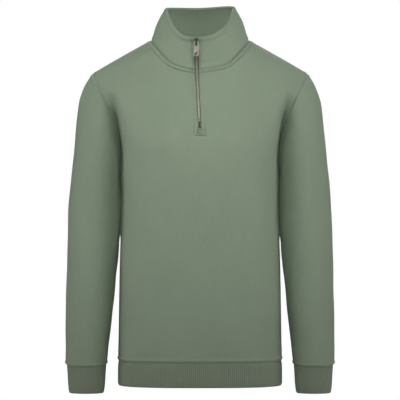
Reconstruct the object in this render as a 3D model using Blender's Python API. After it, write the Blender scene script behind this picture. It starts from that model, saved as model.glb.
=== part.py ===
"""A quarter zip sweater, hollow and filled out as if it were worn, on a general figure.

Every cut piece is a wall of cloth: its outer face is a grid of points on the garment's form, and its
inner face is that grid moved in by the cloth's thickness. Neighbouring pieces share their seam points,
and each stays back from the seam by SEAM_INSET. X is across the garment (+X is the wearer's left),
-Y is the front and +Z is up. The origin is between the two neck points of the shoulders, at the top of
the shoulder seams. Sizes are in millimetres.
"""

import math
from collections import namedtuple

import bmesh
import bpy
import numpy as np
from mathutils import Vector

MM = 0.001

# Cloth
FLEECE = 2.0  # thickness of the body and sleeves
DOUBLED_COLLAR = 3.4  # the collar is two layers, turned at the top
DOUBLED_RIB = 2.8  # cuffs and waistband are folded double
SEAM_INSET = 0.22
SEAM_TURN_SHARE = 0.75  # how much a neck point's wall takes of the directions beside it
UNDERARM_APART = 1.2  # how far the walls of the body and sleeve turn apart at the underarm
LIP_IN = 0.22  # the two lines round a turned edge: this share in from each face
LIP_RISE = 0.38  # and this share of the thickness above it
SHARP_EDGE = math.radians(50)
RIB_DEPTH = 0.7

# Heights
WAIST_SEAM_Z = -647.0
UNDERARM_Z = -268.0

# Neck and shoulders
NECK_HALF = 99.5  # from the centre to the shoulder's neck point
FRONT_NECK_DROP = 61.0
BACK_NECK_RISE = 5.0
BACK_NECK_CURVE = 2.0  # how far the back neckline stays low beside the neck points
NECK_CURVE = 1.65  # how square the front neckline is
NECK_CONE_RISE = 36.15  # the form under the neckline goes on up by this much
NECK_CONE_CURVE = 1.5
SHOULDER_X = 218.0
SHOULDER_SLOPE = 0.545
SHOULDER_CURVE = 0.0002
RIDGE_Y = 6.0  # the shoulder seam runs this far behind the middle
SHOULDER_FALL_AT_NECK = 170.0  # how far below the ridge the form has its full depth
SHOULDER_FALL_SLOPE = 0.28
ROUND = 2.3  # the exponent of the body's sections at the chest: 2 is an ellipse
LOW_ROUND = 2.8  # and below it, where the front and back are flatter
ROUND_CHANGE_Z = (-200.0, -290.0)
SIDE_SEAM_FADE = 0.06  # folds end within this share of the half width
FOLD_END = 0.25  # a fold rises and falls over this share of its length, past each end and before it

# Zip
SLIT_HALF = 3.5
ZIP_END_Z = -182.0
ZIP_LEAN_TOP = -7.8  # the zip leans, so that its top is this far off the centre
ZIP_LEAN_CURVE = 1.6
ZIP_LEAN_REACH = 60.0  # how far to each side the cloth follows the lean

TAPE_GAP = 0.3  # between a tape and the cloth in front of it
TAPE_THICK = 0.8
TAPE_REACH = 9.0  # how far a tape goes on behind the cloth at the slit's edge
CHAIN_HALF = 3.1
CHAIN_SPLIT = 0.15  # half the gap between the two rows of teeth
CHAIN_DEEP = 0.8  # the teeth are this far behind the cloth's face
CHAIN_END_Z = -162.5
CHAIN_TOP_Z = -3.2
TAPE_APART_ABOVE = 2.4  # how far each tape's edge is from the middle above the teeth
TAPE_APART_BELOW = 0.9
TAPE_END_BELOW = 6.0  # how far the tapes go on below the slit
TAPE_TOP_ROWS = 1.12  # how many of the collar's rows above the tapes' top ends
TAPE_STEP_ROWS = 0.03  # the change of a tape's section at the ends of its teeth
TAPE_EDGE_STEP = 0.05  # above and below the teeth a tape's edge is this much raised
TAPE_BEND = 0.3  # past the slit's edge, the tape is wholly behind the cloth
StopRow = namedtuple("StopRow", "z half")
ZIP_STOP = [StopRow(-167.9, 1.7), StopRow(-167.4, 2.3), StopRow(-163.9, 2.3), StopRow(-163.4, 1.7)]
STOP_RAISE = 0.3  # how far the stop stands before the teeth

# Slider and pull tab, in the plane of the collar's front: up is along the zip, out is away from it
SLIDER_HALF = 4.2
SLIDER_TOP = 8.2  # above the tab's axis
SLIDER_BOTTOM = -6.5
SLIDER_FOOT_IN = 0.9  # its lower corners are this much narrower
SLIDER_WIDEST = (1.0, 6.2)
SLIDER_HEAD_IN = 2.2
PLATE_OUT = (0.4, 1.4)
BACK_PLATE_OUT = (-6.0, -4.9)
NECK_HALF_WIDTH = 1.3
NECK_UP = (4.8, 7.6)
CROWN_HALF = 1.2
CROWN_OPEN = (-1.7, 5.4)  # the opening's lower and upper ends; the tab hangs at the lower one
CROWN_OUT = 4.6  # to the opening's front
CROWN_THICK = 1.0
CROWN_BEVEL = 0.7
JOIN_DEPTH = 0.3  # how far the slider's pieces run into each other
AXIS_OUT = 3.0
AXIS_Z = -7.0
TAB_HALF = 5.0
TAB_THICK = 1.6
TAB_TOP = 0.9
TAB_BOTTOM = -30.4
TAB_CORNER = 1.6
TAB_CORNER_CUT = 0.3  # how far a corner's middle stands off the square corner, as a share
TAB_TOP_CORNER = 0.6
TAB_SLOT_CORNER = 0.5
TAB_RUN = 32.0  # the zip's direction behind the tab is taken over this length
TAB_SLOT = (-9.3, -0.9)
TAB_SLOT_HALF = 2.3
TAB_HOLE_UP = -25.3
TAB_HOLE_HALF = 2.5
TAB_HOLE_SQUARE = 0.65  # 1 is a round hole and less is a squarer one

# How many steps each grid has. ARM_ROWS puts a row at the zip's end.
SIDE_ROWS = 12
ARM_ROWS = 13
FRONT_NECK_STEPS = 8
BACK_NECK_STEPS = 6
SHOULDER_STEPS = 5
COLLAR_ROWS = 6
ROW_DIP = 26.0  # rows of a body panel sag between the side seams, so that they meet the armhole well
ROW_DIP_POWER = 6
BOW_POWER = 3  # how fast columns take on the armhole's bow toward it
FINE_STEPS = 160  # of a line before it is spaced evenly
RING_STEPS = 2000
WAIST_RIBS = 234
WAIST_INNER = 78  # columns of its plain inner face
CUFF_RIBS = 56
CUFF_INNER = 28

TorsoRow = namedtuple("TorsoRow", "z half_width front back")
TORSO = [
    TorsoRow(-700, 166.0, 122, 116),
    TorsoRow(-642, 165.2, 121, 115),
    TorsoRow(-560, 164.0, 118.5, 110),
    TorsoRow(-480, 162.8, 117, 104.5),
    TorsoRow(-420, 161.2, 118, 103),
    TorsoRow(-380, 159.2, 120.5, 105),
    TorsoRow(-345, 157.9, 124, 109),
    TorsoRow(-310, 157.3, 127.5, 113.5),
    TorsoRow(-285, 158.2, 130, 117.5),
    TorsoRow(-268, 161.0, 131, 120),
    TorsoRow(-250, 166.0, 131.5, 122),
    TorsoRow(-225, 173.0, 130.5, 124),
    TorsoRow(-175, 192.0, 123, 125),
    TorsoRow(-135, 210.0, 112, 119),
    TorsoRow(-91, 224.0, 93, 108),
    TorsoRow(-60, 230.0, 80, 99),
    TorsoRow(0, 235.0, 74, 90),
]

ArmholeRow = namedtuple("ArmholeRow", "z front_x back_x")
ARMHOLE = [
    ArmholeRow(-268, 161, 161),
    ArmholeRow(-263, 160, 161),
    ArmholeRow(-250, 159, 162),
    ArmholeRow(-225, 159.5, 165),
    ArmholeRow(-190, 165, 171),
    ArmholeRow(-160, 174, 179),
    ArmholeRow(-135, 185, 189),
    ArmholeRow(-112, 196, 199),
    ArmholeRow(-91, 207, 209),
    ArmholeRow(-65, 218, 218),
]

CollarRow = namedtuple("CollarRow", "angle x y z")
COLLAR_TOP = [
    CollarRow(0, 0, -52, 2.0),
    CollarRow(20, 24, -50, 4.5),
    CollarRow(40, 41, -42.5, 13.5),
    CollarRow(55, 53.5, -33, 26),
    CollarRow(68, 61.5, -21, 40.5),
    CollarRow(80, 66.5, -8, 54),
    CollarRow(92, 69.3, 5, 63),
    CollarRow(105, 69, 16, 66),
    CollarRow(120, 65.5, 28, 67),
    CollarRow(140, 52, 41, 67.7),
    CollarRow(160, 29, 49, 68),
    CollarRow(180, 0, 51.5, 68),
]
COLLAR_SWELL = 4.5  # the collar's sides stand out of a straight line by this much
COLLAR_SWELL_HIGH = 1.7  # 1 puts the swell at half the collar's height and more puts it higher
COLLAR_LIFT = 3.0  # the top edge stands higher on the wearer's left
COLLAR_LIFT_REACH = 60.0
NECK_REACH = 75.0  # the neckline's reach forward and back, against which its angles are taken

SleeveRow = namedtuple("SleeveRow", "outer_x outer_z inner_x inner_z y front back")
SLEEVE = [
    SleeveRow(218, -67.4, 161, -268, 5, 68, 62),
    SleeveRow(228, -82, 161.6, -270, 4, 70, 63),
    SleeveRow(237.6, -102.5, 161.8, -273, 3, 71.5, 63),
    SleeveRow(245.3, -126.5, 161.6, -278, 2, 71, 62.5),
    SleeveRow(249.6, -158, 160.8, -286, 1, 69, 61.5),
    SleeveRow(253.2, -196, 160, -297, 0, 66.5, 60.5),
    SleeveRow(257.4, -240, 159.6, -312, -1, 64, 59),
    SleeveRow(262, -288, 159.5, -332, -2, 62, 58),
    SleeveRow(265.6, -335, 160.4, -358, -3, 60.5, 57),
    SleeveRow(267.6, -378, 161.9, -390, -5, 59, 55.5),
    SleeveRow(269.1, -425, 164.3, -430, -8, 57, 53.5),
    SleeveRow(270, -475, 169, -477, -12, 54.5, 51.5),
    SleeveRow(270.6, -525, 174.2, -526, -17, 51.5, 49),
    SleeveRow(271.2, -570, 178.9, -570, -23, 48.5, 46.5),
    SleeveRow(271.1, -613, 183.7, -613, -29, 45.5, 44),
    SleeveRow(270.6, -650, 187.6, -650, -35, 43.5, 42.5),
]
ARMHOLE_FADE_ROWS = 6  # over these rows a sleeve turns from the armhole's outline into its own

CuffRow = namedtuple("CuffRow", "z outer_x inner_x y front back")
CUFF = [
    CuffRow(-650.2, 268.4, 188.9, -35.0, 41.7, 40.7),
    CuffRow(-665, 267.4, 189.7, -36.5, 40.6, 39.6),
    CuffRow(-709, 263.9, 193.2, -40.3, 37.0, 36.0),
    CuffRow(-712, 262.4, 195.0, -40.5, 35.2, 34.2),
]

WAISTBAND = [
    TorsoRow(-647.2, 164.3, 120.6, 114.6),
    TorsoRow(-659, 166.0, 122, 116),
    TorsoRow(-693.5, 166.2, 122.5, 116.5),
    TorsoRow(-697.5, 164.4, 120.8, 114.8),
]

# Soft folds of the body: a trough (negative depth) or ridge between two places of the front view
Fold = namedtuple("Fold", "x0 z0 x1 z1 width depth")
FRONT_FOLDS = [
    Fold(184, -118, 169, -172, 12, -8.0),
    Fold(169, -172, 158, -256, 12, -11.0),
    Fold(52, -212, 150, -208, 27, 6.0),
    Fold(130, -300, 118, -480, 26, 2.0),
    Fold(90, -330, 84, -600, 30, -2.0),
    Fold(40, -360, 46, -610, 30, 1.6),
]
BACK_FOLDS = [
    Fold(186, -130, 172, -180, 12, -6.0),
    Fold(172, -180, 160, -256, 12, -9.0),
    Fold(40, -150, 130, -165, 45, 3.0),
    Fold(128, -290, 110, -520, 26, 2.6),
    Fold(80, -330, 72, -600, 30, -2.6),
    Fold(34, -400, 40, -610, 28, 2.0),
]

Paint = namedtuple("Paint", "colour roughness metallic")
SAGE_FLEECE = Paint((0.205, 0.262, 0.188), 0.9, 0.0)
SAGE_RIB = Paint((0.160, 0.205, 0.145), 0.92, 0.0)
SAGE_TAPE = Paint((0.125, 0.160, 0.115), 0.85, 0.0)
NICKEL = Paint((0.42, 0.39, 0.35), 0.35, 1.0)


def smooth_curve(table, key, value):
    """A function through one column of a table, read at another, that doesn't overshoot."""
    rows = sorted(table, key=lambda row: getattr(row, key))
    at = np.array([getattr(row, key) for row in rows], float)
    level = np.array([getattr(row, value) for row in rows], float)
    step = np.diff(at)
    slope = np.diff(level) / step
    tangent = np.concatenate([slope[:1], np.zeros(len(at) - 2), slope[-1:]])
    for k in range(1, len(at) - 1):
        if slope[k - 1] * slope[k] > 0:
            before = 2 * step[k] + step[k - 1]
            after = step[k] + 2 * step[k - 1]
            tangent[k] = (before + after) / (before / slope[k - 1] + after / slope[k])

    def value_at(place):
        place = np.clip(place, at[0], at[-1])
        k = np.clip(np.searchsorted(at, place) - 1, 0, len(step) - 1)
        t = (place - at[k]) / step[k]
        ends = level[k] * (1 + 2 * t) * (1 - t) ** 2 + level[k + 1] * t * t * (3 - 2 * t)
        turns = tangent[k] * step[k] * t * (1 - t) ** 2 - tangent[k + 1] * step[k] * t * t * (1 - t)
        return ends + turns

    return value_at


half_width = smooth_curve(TORSO, "z", "half_width")
front_depth = smooth_curve(TORSO, "z", "front")
back_depth = smooth_curve(TORSO, "z", "back")
armhole_front_x = smooth_curve(ARMHOLE, "z", "front_x")
armhole_back_x = smooth_curve(ARMHOLE, "z", "back_x")


def smoothstep(t):
    t = np.clip(t, 0, 1)
    return t * t * (3 - 2 * t)


def ridge_z(x):
    """Height of the shoulder ridge. Inside the neckline it is the cone that the neck would make."""
    x = np.abs(x)
    cone = NECK_CONE_RISE * (1 - np.minimum(x / NECK_HALF, 1) ** NECK_CONE_CURVE)
    out = np.maximum(x - NECK_HALF, 0)
    return cone - SHOULDER_SLOPE * out - SHOULDER_CURVE * out**2


def fullness(x, z):
    """0 on the shoulder ridge, rising to 1 where the form has its full depth."""
    fall = SHOULDER_FALL_AT_NECK - SHOULDER_FALL_SLOPE * np.abs(x)
    t = np.clip((ridge_z(x) - z) / fall, 0, 1)
    return np.sqrt(1 - (1 - t) ** 2)


def fold_height(folds, x, z):
    """How far the folds lift the cloth at a place of the front view."""
    total = np.zeros(np.broadcast(x, z).shape)
    for f in folds:
        along = np.array([f.x1 - f.x0, f.z1 - f.z0])
        length = math.hypot(*along)
        dx, dz = np.abs(x) - f.x0, z - f.z0
        t = (dx * along[0] + dz * along[1]) / length**2
        off = (dx * along[1] - dz * along[0]) / length
        ends = smoothstep(np.minimum(t + FOLD_END, 1 + FOLD_END - t) / (2 * FOLD_END))
        total = total + f.depth * np.exp(-((off / f.width) ** 2)) * ends
    return total


def to_seams(x, z):
    """1 inside a body panel, falling to 0 at its side seams, so that folds end there."""
    return smoothstep((1 - np.abs(x) / half_width(z)) / SIDE_SEAM_FADE)


def section(x, z, depth):
    high, low = ROUND_CHANGE_Z
    power = ROUND + (LOW_ROUND - ROUND) * smoothstep((high - z) / (high - low))
    share = np.clip(np.abs(x) / half_width(z), 0, 1)
    return depth(z) * (1 - share**power) ** (1 / power)


def front_point(x, z):
    """A point of the front's outer face, from its place in the front view."""
    out = section(x, z, front_depth) + fold_height(FRONT_FOLDS, x, z) * to_seams(x, z)
    y = RIDGE_Y - (out + RIDGE_Y) * fullness(x, z)
    return np.stack(np.broadcast_arrays(x, y, z), axis=-1)


def back_point(x, z):
    """A point of the back's outer face, from its place in the front view."""
    out = section(x, z, back_depth) + fold_height(BACK_FOLDS, x, z) * to_seams(x, z)
    y = RIDGE_Y + (out - RIDGE_Y) * fullness(x, z)
    return np.stack(np.broadcast_arrays(x, y, z), axis=-1)


def zip_lean(z):
    """How far off the centre the zip is at a height."""
    return ZIP_LEAN_TOP * (1 - np.clip(z / ZIP_END_Z, 0, 1) ** ZIP_LEAN_CURVE)


def lean(x, z):
    """How far a place near the centre front goes sideways with the zip."""
    return zip_lean(z) * smoothstep(1 - np.abs(x) / ZIP_LEAN_REACH)


def evenly(points, count):
    """The same line with count steps of equal length."""
    steps = np.linalg.norm(np.diff(points, axis=0), axis=1)
    along = np.concatenate([[0], np.cumsum(steps)])
    at = np.linspace(0, along[-1], count + 1)
    return np.stack([np.interp(at, along, points[:, k]) for k in range(3)], axis=1)


def panel_half(neck_steps, middle, neck_drop, neck_curve, armhole_x, point):
    """Half of a body panel, from its middle (x = middle) to its side seam, as rows of points from
    the waist seam up. Its last row is the neckline and then the shoulder seam."""
    columns = neck_steps + SHOULDER_STEPS
    fine = np.linspace(0, 1, FINE_STEPS + 1)
    share = np.arange(columns + 1) / columns
    across = np.sin(share * math.pi / 2) ** (2 / ROUND)
    low = np.zeros((SIDE_ROWS + 1, columns + 1, 3))
    high = np.zeros((ARM_ROWS + 1, columns + 1, 3))
    for c in range(columns + 1):
        row_z = UNDERARM_Z - ROW_DIP * (1 - share[c] ** ROW_DIP_POWER)
        z = np.linspace(WAIST_SEAM_Z, row_z, SIDE_ROWS + 1)
        low[:, c] = point(middle + (half_width(z) - middle) * across[c], z)
        low_x = middle + (half_width(row_z) - middle) * across[c]
        if c <= neck_steps:
            turn = c / neck_steps * math.pi / 2
            top_x = middle + (NECK_HALF - middle) * math.sin(turn)
            top_z = -neck_drop * max(math.cos(turn), 0) ** neck_curve
        else:
            top_x = NECK_HALF + (SHOULDER_X - NECK_HALF) * (c - neck_steps) / SHOULDER_STEPS
            top_z = float(ridge_z(top_x))
        z = row_z + (top_z - row_z) * fine
        arm_z = UNDERARM_Z + (float(ridge_z(SHOULDER_X)) - UNDERARM_Z) * fine
        bow = armhole_x(arm_z) - (armhole_x(arm_z[0]) * (1 - fine) + armhole_x(arm_z[-1]) * fine)
        x = low_x * (1 - fine) + top_x * fine + bow * share[c] ** BOW_POWER
        high[:, c] = evenly(point(x, z), ARM_ROWS)
    return np.concatenate([low, high[1:]])


def mirrored(points):
    return points * np.array([-1, 1, 1])


def front_points():
    """The front's outer face. Its two middle columns are the edges of the zip's slit."""
    half = panel_half(
        FRONT_NECK_STEPS, SLIT_HALF, FRONT_NECK_DROP, NECK_CURVE, armhole_front_x, front_point
    )
    whole = np.concatenate([mirrored(half)[:, ::-1], half], axis=1)
    x, z = whole[..., 0], whole[..., 2]
    inside = np.abs(x) < ZIP_LEAN_REACH
    moved = front_point(x + lean(x, z), z)
    return np.where(inside[..., None], moved, whole)


def back_points():
    half = panel_half(BACK_NECK_STEPS, 0.0, -BACK_NECK_RISE, BACK_NECK_CURVE, armhole_back_x, back_point)
    return np.concatenate([mirrored(half)[:, :0:-1], half], axis=1)


def ellipse_ring(outer, inner, y, front, back, count):
    """A ring from its outer and inner points in the front view; it starts outside and goes by the front."""
    centre, reach = (outer + inner) / 2, (outer - inner) / 2
    turn = np.arange(count) / count * 2 * math.pi
    forward = np.sin(turn)
    depth = np.where(forward > 0, front, back)
    return np.stack(
        [
            centre[0] + reach[0] * np.cos(turn),
            y - depth * forward,
            centre[1] + reach[1] * np.cos(turn),
        ],
        axis=1,
    )


def sleeve_points(armhole):
    """The wearer's left sleeve, as rings from the armhole down."""
    rings = []
    for k, row in enumerate(SLEEVE):
        outer, inner = np.array([row.outer_x, row.outer_z]), np.array([row.inner_x, row.inner_z])
        ring = ellipse_ring(outer, inner, row.y, row.front, row.back, len(armhole))
        if k == 0:
            difference = armhole - ring
        rings.append(ring + difference * smoothstep(1 - k / ARMHOLE_FADE_ROWS))
    return np.array(rings)


def collar_points(neckline):
    """The collar's outer face, from the neckline up. Its ends are the edges of the zip's slit."""
    forward = (RIDGE_Y - neckline[:, 1]) / NECK_REACH
    angle = np.degrees(np.arctan2(np.abs(neckline[:, 0]) / NECK_HALF, forward))
    angle[0] = angle[-1] = 0
    side = np.sign(neckline[:, 0])
    side[0], side[-1] = 1, -1
    x = smooth_curve(COLLAR_TOP, "angle", "x")(angle) * side
    y = smooth_curve(COLLAR_TOP, "angle", "y")(angle)
    z = smooth_curve(COLLAR_TOP, "angle", "z")(angle)
    z = z + COLLAR_LIFT * smoothstep(x / COLLAR_LIFT_REACH)
    x = x + lean(x, z) + SLIT_HALF * side * (1 - np.minimum(np.abs(x) / ZIP_LEAN_REACH, 1))
    top = np.stack([x, y, z], axis=1)
    outward = top * [1, 1, 0] / np.linalg.norm(top[:, :2], axis=1)[:, None]
    at_sides = np.sin(np.radians(np.minimum(angle, 90))) ** 2
    rows = []
    for share in np.linspace(0, 1, COLLAR_ROWS + 1):
        swell = COLLAR_SWELL * math.sin(math.pi * share**COLLAR_SWELL_HIGH) * at_sides
        rows.append(neckline * (1 - share) + top * share + outward * swell[:, None])
    return np.array(rows)


class Cloth:
    """A cut piece: the grid of points on its outer face and the outward direction at each."""

    def __init__(self, name, points, thickness, closed=False, seams="", turned_top=False):
        self.name, self.points, self.thickness = name, points, thickness
        self.closed, self.seams, self.turned_top = closed, seams, turned_top
        self.normals = self.grid_normals()
        self.removed = set()

    def grid_normals(self):
        p = self.points
        up = np.gradient(p, axis=0)
        if self.closed:
            across = (np.roll(p, -1, axis=1) - np.roll(p, 1, axis=1)) / 2
        else:
            across = np.gradient(p, axis=1)
        normal = np.cross(across, up)
        normal /= np.maximum(np.linalg.norm(normal, axis=2), 1e-9)[..., None]
        middle = p.reshape(-1, 3).mean(0)
        return normal if ((p - middle) * normal).sum() > 0 else -normal

    def edge_places(self):
        """The grid places on this piece's edges."""
        rows, columns = self.points.shape[:2]
        places = {(r, c) for r in (0, rows - 1) for c in range(columns)}
        if not self.closed:
            places |= {(r, c) for r in range(rows) for c in (0, columns - 1)}
        return sorted(places)

    def hold_back_from_seams(self):
        """Moves each sewn edge in by SEAM_INSET, so that neighbours don't touch."""
        pairs = {"bottom": (0, 1, 0), "top": (-1, -2, 0), "left": (0, 1, 1), "right": (-1, -2, 1)}
        for seam in self.seams.split():
            edge, inner, axis = pairs[seam]
            moved = self.points if axis == 0 else self.points.swapaxes(0, 1)
            toward = moved[inner] - moved[edge]
            moved[edge] += toward / np.linalg.norm(toward, axis=1)[:, None] * SEAM_INSET

    def build(self, paint):
        rows, columns = self.points.shape[:2]
        inner = self.points - self.normals * self.thickness
        mesh = bmesh.new()
        faces = [[], []]
        layers = []
        for grid in (self.points, inner):
            layers.append([[mesh.verts.new(Vector(p) * MM) for p in row] for row in grid])
        around = range(columns) if self.closed else range(columns - 1)
        edges = {}
        for r in range(rows - 1):
            for c in around:
                if (r, c) in self.removed:
                    continue
                corners = [(r, c), (r, (c + 1) % columns), (r + 1, (c + 1) % columns), (r + 1, c)]
                mesh.faces.new([layers[0][i][j] for i, j in corners])
                mesh.faces.new([layers[1][i][j] for i, j in reversed(corners)])
                for a, b in zip(corners, corners[1:] + corners[:1]):
                    edges[frozenset((a, b))] = None if frozenset((a, b)) in edges else (a, b)
        lip = self.lip_points(inner) if self.turned_top else []
        lip = [[mesh.verts.new(Vector(p) * MM) for p in line] for line in lip]
        for (i, j), (k, m) in filter(None, edges.values()):
            on_lip = bool(lip) and i == k == rows - 1
            at_end = bool(lip) and (i, k).count(rows - 1) == 1
            first = [line[j] for line in lip] if on_lip or (at_end and i == rows - 1) else []
            second = [line[m] for line in lip] if on_lip or (at_end and k == rows - 1) else []
            near = [layers[0][i][j], *first, layers[1][i][j]]
            far = [layers[0][k][m], *second, layers[1][k][m]]
            if on_lip:
                for a in range(len(near) - 1):
                    mesh.faces.new([far[a], near[a], near[a + 1], far[a + 1]])
            else:
                mesh.faces.new([*near, *reversed(far)])
        return finished(self.name, mesh, paint)

    def lip_points(self, inner):
        """Two lines of points along the top edge, that round the turn of a doubled piece."""
        outer_edge, inner_edge = self.points[-1], inner[-1]
        up = self.points[-1] - self.points[-2]
        up /= np.linalg.norm(up, axis=1)[:, None]
        rise = up * self.thickness * LIP_RISE
        return [
            outer_edge * (1 - LIP_IN) + inner_edge * LIP_IN + rise,
            outer_edge * LIP_IN + inner_edge * (1 - LIP_IN) + rise,
        ]


def material(name, paint):
    made = bpy.data.materials.new(name)
    made.use_nodes = True
    shader = made.node_tree.nodes["Principled BSDF"]
    shader.inputs["Base Color"].default_value = (*paint.colour, 1)
    shader.inputs["Roughness"].default_value = paint.roughness
    shader.inputs["Metallic"].default_value = paint.metallic
    made.diffuse_color = (*paint.colour, 1)
    return made


def finished(name, mesh, paint):
    """The object of a finished bmesh, with its faces out, its own material and smooth shading."""
    bmesh.ops.recalc_face_normals(mesh, faces=mesh.faces)
    if mesh.calc_volume(signed=True) < 0:
        bmesh.ops.reverse_faces(mesh, faces=mesh.faces)
    data = bpy.data.meshes.new(name)
    mesh.to_mesh(data)
    mesh.free()
    data.shade_smooth()
    data.set_sharp_from_angle(angle=SHARP_EDGE)
    obj = bpy.data.objects.new(name, data)
    obj.data.materials.append(material(name + "_finish", paint))
    bpy.data.collections["sweater"].objects.link(obj)
    return obj


def share_seam_normals(pieces):
    """Where pieces meet, their walls are cut to one direction, so that their edges stay parallel."""
    sums = {}
    for piece in pieces:
        for r, c in piece.edge_places():
            key = tuple(np.round(piece.points[r, c], 2))
            sums[key] = sums.get(key, 0) + piece.normals[r, c]
    for piece in pieces:
        for r, c in piece.edge_places():
            total = sums[tuple(np.round(piece.points[r, c], 2))]
            piece.normals[r, c] = total / np.linalg.norm(total)


def settle_neck_points(collar, panels):
    """At the shoulders' neck points, where three seams meet, the wall turns no faster than beside them."""
    row = collar.normals[0]
    for c in (FRONT_NECK_STEPS, FRONT_NECK_STEPS + 2 * BACK_NECK_STEPS):
        turned = row[c] + (row[c - 1] + row[c + 1]) * SEAM_TURN_SHARE
        row[c] = turned / np.linalg.norm(turned)
        for panel in panels:
            far = np.linalg.norm(panel.points[-1] - collar.points[0, c], axis=1)
            panel.normals[-1, int(far.argmin())] = row[c]


def armhole_normals(points, side, into_sleeve):
    """Outward directions along an armhole: away from the middle of the hole, and apart at the underarm,
    where the body's wall and the sleeve's run side by side. into_sleeve is 1 for the sleeve."""
    top = np.array([side * SHOULDER_X, 0, float(ridge_z(SHOULDER_X))])
    bottom = np.array([side * float(half_width(UNDERARM_Z)), 0, UNDERARM_Z])
    up = (top - bottom) / np.linalg.norm(top - bottom)
    axis = np.cross(up, [0, 1, 0])
    away = points - (top + bottom) / 2
    away = away - (away @ axis)[..., None] * axis
    away = away / np.linalg.norm(away, axis=-1)[..., None]
    lowness = np.clip(-(away @ up), 0, 1)
    apart = np.array([side, 0, 0]) * (-1 if into_sleeve else 1)
    mixed = away + lowness[..., None] ** 2 * UNDERARM_APART * apart
    return mixed / np.linalg.norm(mixed, axis=-1)[..., None]


def ring_outward(rings):
    """The level outward direction at each point of closed level rings."""
    along = np.roll(rings, -1, axis=1) - np.roll(rings, 1, axis=1)
    out = np.stack([along[..., 1], -along[..., 0], np.zeros(along.shape[:2])], axis=-1)
    out /= np.linalg.norm(out, axis=2)[..., None]
    away = rings - rings.mean(axis=1, keepdims=True)
    return out if (out * away).sum() > 0 else -out


def ribbed_band(name, outer, inner_count, thickness, paint):
    """A knitted band from its plain outer rings, from its seam down. Every second point is moved in, so
    that its outer face has a ridge for each rib. Its inner face is plain."""
    outward = ring_outward(outer)
    each = outer.shape[1] // inner_count
    inner = (outer - outward * thickness)[:, ::each]
    outer = outer.copy()
    outer[:, 1::2] -= outward[:, 1::2] * RIB_DEPTH
    mesh = bmesh.new()
    loops = []
    for grid in (outer, inner):
        loops.append([[mesh.verts.new(Vector(p) * MM) for p in ring] for ring in grid])
        for upper, lower in zip(loops[-1], loops[-1][1:]):
            for c in range(len(upper)):
                d = (c + 1) % len(upper)
                mesh.faces.new([upper[c], upper[d], lower[d], lower[c]])
    for row in (0, -1):
        wide, narrow = loops[0][row], loops[1][row]
        for c in range(inner_count):
            d = (c + 1) % inner_count
            for k in range(each):
                a, b = wide[c * each + k], wide[(c * each + k + 1) % len(wide)]
                mesh.faces.new([a, b, narrow[c]])
            mesh.faces.new([wide[d * each], narrow[d], narrow[c]])
    return finished(name, mesh, paint)


def evened(rings, count):
    """Closed rings with count points each, spaced evenly."""
    return np.array([evenly(np.vstack([ring, ring[:1]]), count)[:-1] for ring in rings])


def waist_rings():
    """The waistband's plain outer rings. Each starts at the wearer's left side seam."""
    turn = np.arange(RING_STEPS) / RING_STEPS * 2 * math.pi
    across = np.sign(np.cos(turn)) * np.abs(np.cos(turn)) ** (2 / LOW_ROUND)
    forward = np.abs(np.sin(turn)) ** (2 / LOW_ROUND)
    rings = []
    for row in WAISTBAND:
        y = np.where(np.sin(turn) > 0, -row.front, row.back) * forward
        z = np.full(len(turn), row.z)
        rings.append(np.stack([row.half_width * across, y, z], axis=1))
    return evened(rings, WAIST_RIBS * 2)


def cuff_rings(side):
    """A cuff's plain outer rings."""
    rings = []
    for row in CUFF:
        outer, inner = np.array([row.outer_x, row.z]), np.array([row.inner_x, row.z])
        rings.append(ellipse_ring(outer, inner, row.y, row.front, row.back, RING_STEPS))
    return evened(rings, CUFF_RIBS * 2) * [side, 1, 1]


class Slit:
    """The line of the zip: the slit's two edges in the front and then in the collar, from below up."""

    def __init__(self, front, collar, middle):
        self.sides = {}
        for side, first in ((1, middle), (-1, middle - 1)):
            end = 0 if side > 0 else -1
            beside = end + side
            self.sides[side] = [
                np.concatenate([front.points[:, first], collar.points[1:, end]]),
                np.concatenate([front.normals[:, first], collar.normals[1:, end]]),
                np.concatenate([front.points[:, first + side], collar.points[1:, beside]]),
                np.concatenate([front.normals[:, first + side], collar.normals[1:, beside]]),
            ]
        in_front = front.points.shape[0]
        in_collar = collar.points.shape[0] - 1
        self.wall = np.array([FLEECE] * (in_front - 1) + [DOUBLED_COLLAR] * (in_collar + 1))
        self.row_z = self.sides[1][0][:, 2]

    def row_at(self, z):
        """The row, as a number with a fraction, at a height."""
        return float(np.interp(z, self.row_z, np.arange(len(self.row_z))))

    def between(self, lines, row):
        low = min(int(row), len(lines) - 2)
        return lines[low] * (low + 1 - row) + lines[low + 1] * (row - low)

    def wall_at(self, row):
        return float(self.between(self.wall, row))

    def place(self, side, row, across, depth):
        """A point at a distance across from the zip's middle and a depth behind the cloth's face. Beyond
        the slit's edge it keeps behind the cloth there."""
        edge, edge_out, beside, beside_out = (self.between(v, row) for v in self.sides[side])
        other, other_out = (self.between(v, row) for v in self.sides[-side][:2])
        middle, middle_out = (edge + other) / 2, (edge_out + other_out) / 2
        if across <= SLIT_HALF:
            share = across / SLIT_HALF
            out = middle_out * (1 - share) + edge_out * share
            return middle * (1 - share) + edge * share - out * depth
        share = (across - SLIT_HALF) / np.linalg.norm(beside - edge)
        out = edge_out * (1 - share) + beside_out * share
        return edge * (1 - share) + beside * share - out * depth


def swept(name, sections, paint):
    """A solid through sections that have the same number of points each, closed at both ends."""
    mesh = bmesh.new()
    loops = [[mesh.verts.new(Vector(p) * MM) for p in section_points] for section_points in sections]
    count = len(loops[0])
    for lower, upper in zip(loops, loops[1:]):
        for k in range(count):
            m = (k + 1) % count
            mesh.faces.new([lower[k], lower[m], upper[m], upper[k]])
    mesh.faces.new(loops[0])
    mesh.faces.new(loops[-1])
    return finished(name, mesh, paint)


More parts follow.
